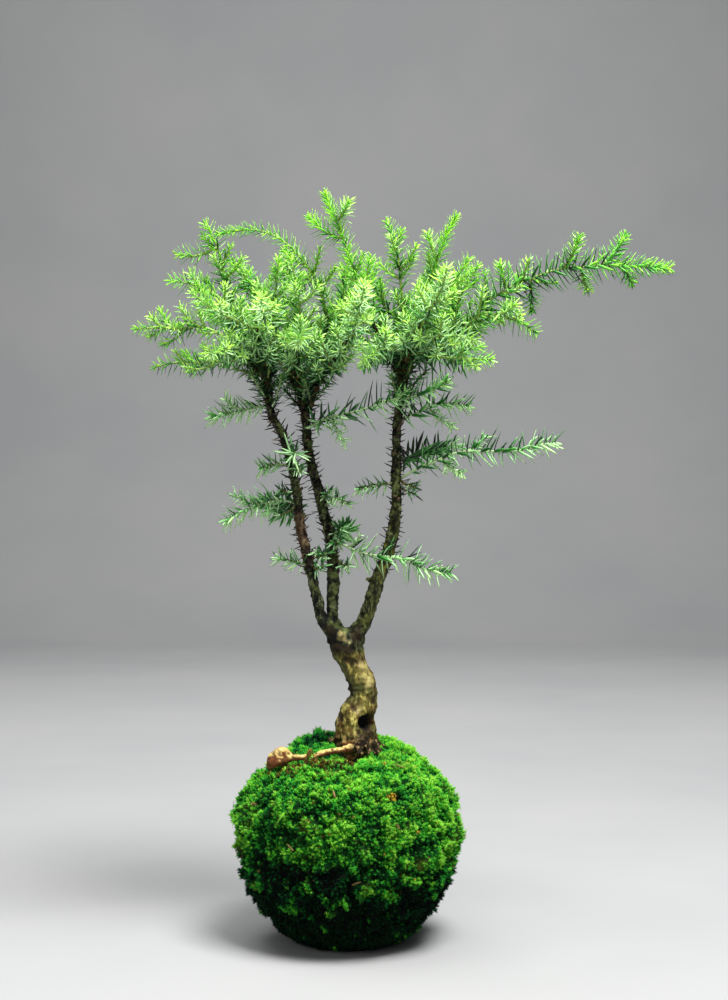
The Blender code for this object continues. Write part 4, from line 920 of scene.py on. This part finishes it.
def moss_tone(points, height, chance):
    """How light the moss is at each sprig: painted shade in clefts, under the ball and behind the root.
    """
    x, y, z = points.T
    # Lit patches where the painted shade under the ball is lifted: painted light.
    lit = 0.75 * ease(noise_at(points, 7.0, 70) * 5 - 1.3)
    lit = np.maximum(lit, np.clip(2.4 * patches_at(points), 0, 0.9))
    # painted shade on the lowest moss, under the ball
    underside_shade = UNDERSIDE_SHADE * (1 - ease((z - UNDERSIDE_SHADE_TOP) / UNDERSIDE_SHADE_FADE)) * (1 - lit)
    # painted shade on the moss behind the root
    painted_shade = 0.35 * np.exp(-((x + 16) ** 2 + (y - 14) ** 2) / 200) * (z > MOSS_TOP)
    # random tone drift, plus painted light towards the right and round the ball's middle
    tone_drift_and_painted_light = 0.07 * noise_at(points, 14.0, 50) + 0.05 * np.clip(x / 50, -1, 1)
    tone_drift_and_painted_light += 0.12 * np.exp(-((z - 54) / 18) ** 2)
    return np.clip(0.06 + 0.74 * height ** 1.3 + 0.15 * chance + tone_drift_and_painted_light - underside_shade - painted_shade, 0.01, 0.88)


def add_sprigs(pile, shares, turns, rng, root):
    """Star-like moss sprigs standing on the mat, sparser in its clefts and darker there by painted shade.
    """
    points, ways, height = moss_surface(shares, turns)
    chance = draws(rng, len(points), 9)
    clear = (distances_to(points, root) > SPRIGS_OFF_ROOTS) & (height > 0.05 * chance[:, 8])
    clear &= np.hypot(points[:, 0] - 3.7, points[:, 1]) > SPRIGS_OFF_TRUNK
    points, ways, height, chance = (rows[clear] for rows in (points, ways, height, chance))
    x, y, z = points.T
    tall = 0.5 * np.exp(-((x + 16) ** 2 + (y - 18) ** 2) / 150) * (z > MOSS_TOP)
    sizes = SPRIG_HEIGHT * (0.8 + 0.35 * height + 0.15 * chance[:, 0] + tall)
    lean = unit(ways + chance[:, 1:4] * 0.36 + np.array((0, 0, 0.25)))
    side = unit(np.cross(lean, (0.31, 0.52, 0.79)))
    other = np.cross(lean, side)
    tones = moss_tone(points, height, chance[:, 4])
    ahead = (DUFF_SHADE_EDGE - y) / DUFF_SHADE_REACH
    duff_and_shade = (ahead > 0) & (np.abs(x - DUFF_SHADE_MIDDLE) < DUFF_SHADE_HALF_WIDTH) & (z > DUFF_SHADE_FLOOR)
    duff_and_shade &= chance[:, 5] > 3.2 * ahead - np.interp(x, (-16, -12), (1.8, 2.6))
    fleck = np.linalg.norm((points - FLECK) / (1, 3, 1), axis=1) < 2.0
    tones = np.where(fleck & ~duff_and_shade, 0.95, tones)
    # darkened more towards the right: painted shade under the root
    tones = np.where(duff_and_shade, tones * np.interp(x, (-20, -10), (0.75, 0.35)), tones)
    zones = np.where((np.abs(chance[:, 6]) > 2.45) | duff_and_shade | fleck, BROWN_ZONE, LEAF_ZONE)
    for leaf in range(SPRIG_LEAVES):
        out = turned(leaf * GOLDEN_TURN + chance[:, 7], side, other)
        splay = 1.15 * (leaf / (SPRIG_LEAVES - 1)) ** 0.8
        up = lean * (0.55 - 0.45 * leaf / SPRIG_LEAVES) * sizes[:, None] - ways * 0.5
        add_leaves(pile, points + up, unit(lean + out * splay), out, sizes * (0.62 + 0.06 * (leaf % 3)),
                   tones + 0.07 * (leaf % 3 - 1), zones)


def add_fronds(pile, shares, turns, rng, root):
    """Longer feathery moss shoots lying on the tufts, some standing out past the outline."""
    points, ways, height = moss_surface(shares, turns)
    chance = draws(rng, len(points), 6)
    clear = (distances_to(points, root) > FRONDS_OFF_ROOTS) & (height > 0.55)
    clear &= np.hypot(points[:, 0] - 4, points[:, 1]) > FRONDS_OFF_TRUNK
    points, ways, height, chance = (rows[clear] for rows in (points, ways, height, chance))
    lying = square_to(ways, chance[:, :3])
    side = np.cross(ways, lying)
    sizes = (FROND_LENGTH + FROND_SPREAD * chance[:, 3])[:, None]
    tones = np.clip(moss_tone(points, height, chance[:, 4]), 0, 1)
    zones = np.full(len(points), LEAF_ZONE)
    for k in range(FROND_STEPS):
        share = (k + 0.5) / FROND_STEPS
        spots = points + ways * (1.2 + 0.6 * share) + lying * sizes * (share - 0.4)
        for hand in (-1, 1):
            way = unit(lying * 0.8 + side * hand * (1.1 - 0.4 * share) + ways * 0.35)
            long = np.full(len(points), 1.6 * (1 - 0.55 * share))
            add_leaves(pile, spots, way, ways, long, tones, zones, slim=0.14)
    add_leaves(pile, points + ways * 1.2 - lying * sizes * 0.4, unit(lying + ways * 0.14), ways,
               sizes[:, 0] * 1.05, tones - 0.1, zones, slim=0.05)


def add_leaves(pile, feet, ways, ups, sizes, tones, zones, slim=0.17):
    """Narrow three-sided moss leaves, dark at the foot and light at the tip, none below the floor."""
    across = unit(np.cross(ways, ups))
    ups = np.cross(across, ways)
    half = (slim * sizes)[:, None]
    columns = (feet - across * half, feet + across * half, feet + ups * half,
               feet + ways * sizes[:, None])
    faces = np.array(((0, 1, 3), (1, 2, 3), (2, 0, 3), (0, 2, 1)))
    starts = (np.arange(len(feet)) * 4)[:, None, None]
    shifts = np.array(LEAF_SHADES) * np.clip(3 * tones, 0.25, 1)[:, None]
    points = np.stack(columns, axis=1)
    points[:, :, 2] = np.maximum(points[:, :, 2], FLOOR_GAP * (1 + np.arange(4)))
    pile.add(points, (faces + starts,), (tones[:, None] + shifts).ravel(),
             (zones[:, None] + np.array(LEAF_ZONE_SHIFTS)).ravel())


def make_litter(material):
    """Fallen dry needles lying on the moss."""
    rng = random.Random(SEED + 9)
    shares, turns = scattered(LITTER, rng, 0.3, 0.97)
    points, ways, _ = moss_surface(shares, turns)
    chance = draws(rng, LITTER, 5)
    lying = square_to(ways, chance[:, :3])
    sizes = LITTER_LENGTH + LITTER_SPREAD * chance[:, 3]
    feet = points + ways * 1.5 - lying * (sizes * 0.5)[:, None]
    pile = Pile()
    add_needles(pile, feet, unit(lying + ways * 0.1), ways, sizes, 0.5 + 0.25 * chance[:, 4], bend=0.06)
    pile.build("moss_litter", material)


def node(tree, kind, inputs=None, **settings):
    """A shader node with its settings, its input values and its incoming links."""
    made = tree.nodes.new(kind)
    for key, value in settings.items():
        setattr(made, key, value)
    for key, value in (inputs or {}).items():
        if isinstance(value, bpy.types.NodeSocket):
            tree.links.new(value, made.inputs[key])
        else:
            made.inputs[key].default_value = value
    return made


def colour(red, green, blue):
    """Display red, green and blue from 0 to 255 as a linear colour."""
    return (*[(part / 255) ** 2.2 for part in (red, green, blue)], 1)


def shader_group(name, inputs, output):
    """An empty node group with named float inputs and one float output."""
    group = bpy.data.node_groups.new(name, "ShaderNodeTree")
    for label, value in inputs:
        socket = group.interface.new_socket(label, in_out="INPUT", socket_type="NodeSocketFloat")
        socket.default_value = value
    group.interface.new_socket(output, in_out="OUTPUT", socket_type="NodeSocketFloat")
    return group, node(group, "NodeGroupInput"), node(group, "NodeGroupOutput")


def make_blotches_group():
    """Soft-edged blotches: a mask from 0 to 1 with spots of a given size in metres."""
    group, given, result = shader_group(
        "blotches", (("Size", 0.01), ("From", 0.45), ("To", 0.6), ("Offset", 0.0)), "Mask")
    given = given.outputs
    place = node(group, "ShaderNodeTexCoord").outputs["Object"]
    scale = node(group, "ShaderNodeMath", {0: 1.0, 1: given["Size"]}, operation="DIVIDE").outputs[0]
    shifted = node(group, "ShaderNodeVectorMath", {0: place, 1: given["Offset"]}, operation="ADD")
    spots = node(group, "ShaderNodeTexNoise", {
        "Vector": shifted.outputs[0], "Scale": scale, "Detail": 3.0, "Roughness": 0.6})
    mask = node(group, "ShaderNodeMapRange", {
        "Value": spots.outputs["Fac"], "From Min": given["From"], "From Max": given["To"]})
    group.links.new(mask.outputs["Result"], result.inputs["Mask"])


def make_fibres_group():
    """Grain drawn out along the height: a value from 0 to 1."""
    group, given, result = shader_group("fibres", (("Size", 0.001), ("Draw Out", 0.2)), "Value")
    given = given.outputs
    place = node(group, "ShaderNodeTexCoord").outputs["Object"]
    draw = node(group, "ShaderNodeCombineXYZ", {"X": 1.0, "Y": 1.0, "Z": given["Draw Out"]}).outputs[0]
    drawn = node(group, "ShaderNodeVectorMath", {0: place, 1: draw}, operation="MULTIPLY")
    scale = node(group, "ShaderNodeMath", {0: 1.0, 1: given["Size"]}, operation="DIVIDE").outputs[0]
    grain = node(group, "ShaderNodeTexNoise", {
        "Vector": drawn.outputs[0], "Scale": scale, "Detail": 4.0, "Roughness": 0.65, "Distortion": 0.4})
    group.links.new(grain.outputs["Fac"], result.inputs["Value"])


class Finish:
    """A material in the making. Sizes and places are in millimetres, colours in display values."""

    def __init__(self, name):
        self.material = bpy.data.materials.new(name)
        self.material.use_nodes = True
        self.tree = self.material.node_tree

    def node(self, kind, inputs=None, **settings):
        return node(self.tree, kind, inputs, **settings)

    def reading(self, name):
        """One of the numbers kept for each point."""
        return self.node("ShaderNodeAttribute", attribute_name=name).outputs["Fac"]

    def place(self):
        """X, Y and Z of the spot on the object."""
        spot = self.node("ShaderNodeTexCoord").outputs["Object"]
        return self.node("ShaderNodeSeparateXYZ", {0: spot}).outputs

    def facing(self):
        """X, Y and Z of the way the surface faces."""
        way = self.node("ShaderNodeNewGeometry").outputs["Normal"]
        return self.node("ShaderNodeSeparateXYZ", {0: way}).outputs

    def product(self, *values):
        """All the values multiplied."""
        result = values[0]
        for value in values[1:]:
            result = self.node("ShaderNodeMath", {0: result, 1: value}, operation="MULTIPLY").outputs[0]
        return result

    def mix(self, first, second, factor):
        """From a first colour to a second, by a factor from 0 to 1."""
        made = self.node("ShaderNodeMix", {0: factor}, data_type="RGBA")
        for index, value in ((6, first), (7, second)):
            if isinstance(value, bpy.types.NodeSocket):
                self.tree.links.new(value, made.inputs[index])
            else:
                made.inputs[index].default_value = colour(*value)
        return made.outputs[2]

    def layered(self, base, *layers):
        """A base with colours laid over it in turn, each through its own mask."""
        for shade, mask in layers:
            base = self.mix(base, shade, mask)
        return base

    def ramp(self, value, *stops):
        """A colour that runs through the given stops, each a place and a display colour."""
        made = self.node("ShaderNodeValToRGB", {"Fac": value})
        elements = made.color_ramp.elements
        while len(elements) < len(stops):
            elements.new(1)
        for element, (place, *shade) in zip(elements, stops):
            element.position = place
            element.color = colour(*shade)
        return made.outputs["Color"]

    def stretch(self, value, low, high, to_low=0.0, to_high=1.0):
        """A value taken from one range to another and kept in it."""
        return self.node("ShaderNodeMapRange", {
            "Value": value, "From Min": low, "From Max": high, "To Min": to_low, "To Max": to_high,
        }).outputs["Result"]

    def past(self, value, low, high, to_low=0.0, to_high=1.0):
        """The same between two places on the object."""
        return self.stretch(value, low * MM, high * MM, to_low, to_high)

    def blotches(self, size, low, high, offset=0.0):
        return self.shared("blotches", {"Size": size * MM, "From": low, "To": high, "Offset": offset})

    def fibres(self, size, draw_out):
        return self.shared("fibres", {"Size": size * MM, "Draw Out": draw_out})

    def shared(self, name, values):
        """The one output of a shared shader group."""
        return self.node("ShaderNodeGroup", values, node_tree=bpy.data.node_groups[name]).outputs[0]

    def finish(self, base, rough, height, strength, distance, gloss=0.5):
        """Wire the colour, the roughness and the bump into the shader, and give the material."""
        shader = self.tree.nodes["Principled BSDF"]
        self.tree.links.new(base, shader.inputs["Base Color"])
        self.tree.links.new(rough, shader.inputs["Roughness"])
        bump = self.node("ShaderNodeBump", {
            "Height": height, "Strength": strength, "Distance": distance * MM})
        self.tree.links.new(bump.outputs["Normal"], shader.inputs["Normal"])
        shader.inputs["Specular IOR Level"].default_value = gloss
        return self.material


def needle_material():
    """Waxy needles: deep green, a pale channel on top, yellow-green when young, paler low down."""
    leaf = Finish("needles")
    tone, zone = leaf.reading("tone"), leaf.reading("zone")
    body = leaf.ramp(tone, (0.0, 3, 32, 12), (0.25, 30, 102, 32), (0.5, 92, 178, 70),
                     (0.75, 142, 226, 64), (1.0, 178, 246, 70))
    channel = leaf.ramp(tone, (0.0, 18, 66, 28), (0.18, 78, 142, 70), (0.38, 194, 234, 178),
                        (0.65, 206, 243, 160), (1.0, 194, 250, 92))
    stalk = leaf.ramp(tone, (0.2, 82, 66, 42), (0.5, 112, 122, 60), (0.75, 158, 192, 92))
    dusty = leaf.blotches(4, 0.5, 0.75)
    low = leaf.product(leaf.past(leaf.place()["Z"], 268, 255, 0, 0.6), leaf.stretch(tone, 0.36, 0.62))
    green = leaf.layered(
        stalk,
        (leaf.mix(body, channel, leaf.stretch(zone, 0.44, 0.8)), leaf.stretch(zone, 0.1, 0.2)),
        ((150, 200, 140), leaf.product(dusty, 0.12)),
        ((204, 238, 194), low))
    return leaf.finish(green, leaf.stretch(dusty, 0, 1, 0.4, 0.55), leaf.fibres(0.6, 0.5),
                       0.15, 0.2, 0.35)


def trunk_bark(wood, place, grain):
    """Tan bark in patches; above the bend its left-facing side is greyer and has painted shade."""
    # left-facing side: partly its grey bark, partly painted shade
    left = wood.product(wood.stretch(wood.facing()["X"], 0.0, -0.6, 0, 0.9),
                        wood.past(place["Z"], 109, 115))
    return wood.layered(
        wood.ramp(grain, (0.33, 60, 51, 25), (0.5, 120, 109, 52), (0.63, 206, 194, 108)),
        ((84, 58, 30), wood.blotches(6.5, 0.48, 0.62)),
        ((76, 76, 38), wood.blotches(12, 0.5, 0.64, 3.1)),
        (wood.mix((48, 50, 32), (90, 90, 54), grain), left))


def stem_bark(wood, place, grain):
    """Near black bark with lichen; bare on the left stem, reddish up high, mossy low on the right."""
    bare = wood.product(wood.past(place["Z"], 176, 182), wood.past(place["Z"], 206, 200),
                        wood.past(place["X"], -13.5, -15.0), 0.7)
    reddish = wood.product(wood.past(place["Z"], 246, 262), wood.blotches(6, 0.46, 0.56, 6.1))
    mossy = wood.product(wood.past(place["Z"], 222, 200), wood.past(place["X"], 3, 8),
                         wood.past(place["Z"], 164, 186, 0.45, 1.0),
                         wood.stretch(wood.blotches(4.5, 0.47, 0.57, 5.0), 0, 1, 0.1, 0.85))
    return wood.layered(
        wood.ramp(grain, (0.38, 10, 12, 9), (0.5, 36, 40, 27), (0.62, 98, 103, 70)),
        (wood.mix((28, 40, 18), (124, 138, 78), grain),
         wood.product(wood.blotches(5, 0.5, 0.57, 7.7), 0.75)),
        (wood.mix((40, 30, 24), (138, 106, 82), grain), bare),
        (wood.mix((66, 36, 20), (132, 78, 40), grain), reddish),
        (wood.mix((16, 18, 8), (142, 140, 52), grain), mossy),
        ((11, 11, 12), wood.product(wood.blotches(6, 0.51, 0.57, 11.0), 0.8)))


def root_skin(wood, place, grain):
    """Cream skin with brown specks, frayed at the knob; brown below, partly its own, partly painted
    shade.
    """
    frayed = wood.product(wood.past(place["X"], -30.5, -35.0), wood.blotches(3, 0.42, 0.52, 4.4))
    return wood.layered(
        wood.ramp(grain, (0.3, 168, 134, 70), (0.5, 216, 190, 116), (0.7, 244, 228, 158)),
        ((98, 58, 36), wood.blotches(3.5, 0.54, 0.62, 2.2)),
        # downward faces: partly the root's own brown underside, partly painted shade
        (wood.mix((66, 36, 22), (142, 88, 54), grain),
         wood.stretch(wood.facing()["Z"], 0.45, 0.05, 0, 0.95)),
        (wood.mix((84, 42, 26), (188, 116, 74), grain), frayed))


def bark_material():
    """Bark: pale and patched on the trunk, dark with lichen on the stems, cream on the surface root."""
    wood = Finish("bark")
    place, grain = wood.place(), wood.fibres(2.2, 0.55)
    patches = wood.reading("patches")
    dirt = wood.mix((30, 22, 14), (142, 116, 74), wood.blotches(2.4, 0.52, 0.6, 9.0))
    rooty = wood.product(wood.past(place["Z"], 96.5, 95.0), wood.past(place["Y"], -8, -9),
                         wood.past(place["X"], 3, 0.5))
    bark = wood.layered(
        trunk_bark(wood, place, grain),
        (stem_bark(wood, place, grain), wood.past(place["Z"], 134.5, 138.5)),
        (wood.mix((24, 19, 13), (58, 46, 28), grain), wood.stretch(patches, 0.42, 0.14, 0, 0.95)),
        (wood.mix((150, 132, 74), (226, 210, 142), grain), wood.stretch(patches, 0.6, 0.9, 0, 0.9)),
        (dirt, wood.past(place["Z"], 101, 95.5, 0, 0.95)),
        (root_skin(wood, place, grain), rooty),
        # painted shade in the bark's crevices
        ((28, 22, 16), wood.stretch(wood.reading("relief"), 0.4, 0.12, 0, 0.8)),
        # the hollow painted near black as painted shade
        ((8, 8, 12), wood.reading("hollow")))
    return wood.finish(bark, wood.stretch(grain, 0.3, 0.7, 0.95, 0.72), grain, 0.8, 0.8, 0.22)


def dry_material(name, dark, middle, light, rough):
    """Dry plant bits: a run of three browns by tone, blotched and grained."""
    bit = Finish(name)
    mottle = bit.blotches(2, 0.5, 0.7)
    dry = bit.mix(bit.ramp(bit.reading("tone"), (0.1, *dark), (0.5, *middle), (0.95, *light)), dark,
                  bit.product(mottle, 0.5))
    return bit.finish(dry, bit.stretch(mottle, 0, 1, rough, rough + 0.15), bit.fibres(0.5, 0.4), 0.3, 0.2)


def moss_material(name, rough, bump, stops):
    """Moss green by tone: near black where clefts have painted shade, yellow-green on tufts, brown bits.
    """
    moss = Finish(name)
    tone = moss.reading("tone")
    yellowed = moss.product(moss.blotches(11, 0.56, 0.68, 4.0),
                            moss.stretch(tone, 0.1, 0.4, 0, 0.35))
    green = moss.mix(moss.ramp(tone, *stops), (96, 96, 36), yellowed)
    browned = moss.ramp(tone, (0.1, 34, 26, 12), (0.8, 156, 130, 60), (0.95, 232, 186, 58))
    green = moss.mix(browned, green, moss.stretch(moss.reading("zone"), 0.2, 0.3))
    return moss.finish(green, moss.stretch(moss.blotches(3, 0.4, 0.6), 0, 1, rough, rough + 0.15),
                       moss.fibres(0.9, 1.0), bump, 0.8, 0.12)


def soil_material():
    """Dark damp soil with grit and pale crumbs."""
    soil = Finish("damp_soil")
    earth = soil.layered(
        soil.mix((34, 24, 18), (72, 52, 38), soil.blotches(4, 0.4, 0.6)),
        ((150, 128, 96), soil.blotches(1.5, 0.66, 0.72, 2.0)))
    return soil.finish(earth, soil.stretch(soil.blotches(10, 0.3, 0.7), 0, 1, 0.75, 0.95),
                       soil.fibres(1.5, 1.0), 0.8, 1.0)


def floor_material():
    """Matt pale grey with the faintest clouds."""
    paint = Finish("pale_floor")
    return paint.finish(paint.mix((166, 167, 168), (174, 174, 173), paint.blotches(300, 0.3, 0.7)),
                        paint.stretch(paint.blotches(100, 0.3, 0.7), 0, 1, 0.85, 0.95),
                        paint.fibres(10, 1.0), 0.02, 1.0)


def make_floor():
    """A pale floor that sweeps up into a backdrop."""
    profile = [(FLOOR_FRONT, 0.0)]
    for k in range(SWEEP_STEPS + 1):
        angle = math.pi / 2 * k / SWEEP_STEPS
        profile.append((SWEEP_FROM + SWEEP_RADIUS * math.sin(angle),
                        SWEEP_RADIUS * (1 - math.cos(angle))))
    profile.append((SWEEP_FROM + SWEEP_RADIUS, BACKDROP_TOP))
    points = [(side * FLOOR_HALF_WIDTH, y, z) for y, z in profile for side in (-1, 1)]
    faces = [(2 * k, 2 * k + 1, 2 * k + 3, 2 * k + 2) for k in range(len(profile) - 1)]
    mesh = bpy.data.meshes.new("studio_floor")
    mesh.from_pydata(points, [], faces)
    mesh.shade_smooth()
    mesh.materials.append(floor_material())
    floor = bpy.data.objects.new("studio_floor", mesh)
    bpy.context.scene.collection.objects.link(floor)


def make_lights():
    """Soft boxes and a faint even light from all round."""
    world = bpy.data.worlds.new("studio")
    world.use_nodes = True
    background = world.node_tree.nodes["Background"]
    background.inputs["Color"].default_value = ROOM_COLOUR
    background.inputs["Strength"].default_value = ROOM_STRENGTH
    bpy.context.scene.world = world
    for name, spot, aim, size, power in SOFT_BOXES:
        lamp = bpy.data.lights.new(name, "AREA")
        lamp.shape = "SQUARE"
        lamp.size = size
        lamp.energy = power
        lit = bpy.data.objects.new(name, lamp)
        lit.location = spot
        lit.rotation_euler = (Vector(aim) - Vector(spot)).to_track_quat("-Z", "Y").to_euler()
        bpy.context.scene.collection.objects.link(lit)


def make_camera():
    """A level camera in front, at the height of the stems."""
    camera = bpy.data.cameras.new("camera")
    camera.sensor_width = CAMERA_SENSOR
    camera.lens = CAMERA_LENS
    stand = bpy.data.objects.new("camera", camera)
    stand.location = CAMERA_PLACE
    stand.rotation_euler = (math.pi / 2, 0, 0)
    bpy.context.scene.collection.objects.link(stand)
    bpy.context.scene.camera = stand
    bpy.context.scene.view_settings.view_transform = "Standard"


make_blotches_group()
make_fibres_group()
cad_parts["soil_ball"].data.materials.clear()
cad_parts["soil_ball"].data.materials.append(soil_material())
make_bark(bark_material())
make_spines(dry_material("dry_spines", (22, 17, 12), (60, 44, 28), (146, 120, 78), 0.7))
needles = needle_material()
make_sprays(needles)
make_inner_needles(needles)
make_moss_mat(moss_material("moss_mat", 0.8, 0.8, ((0.0, 0, 6, 9), (0.5, 9, 57, 19),
                                                   (1.0, 46, 130, 24))))
make_moss_sprigs(moss_material("moss_sprigs", 0.7, 0.2, ((0.0, 2, 13, 17), (0.22, 13, 99, 43),
                                                         (0.45, 55, 170, 49), (0.75, 114, 200, 50),
                                                         (1.0, 160, 220, 82))))
make_litter(dry_material("dry_litter", (74, 52, 26), (132, 104, 52), (192, 168, 98), 0.6))
make_floor()
make_lights()
make_camera()
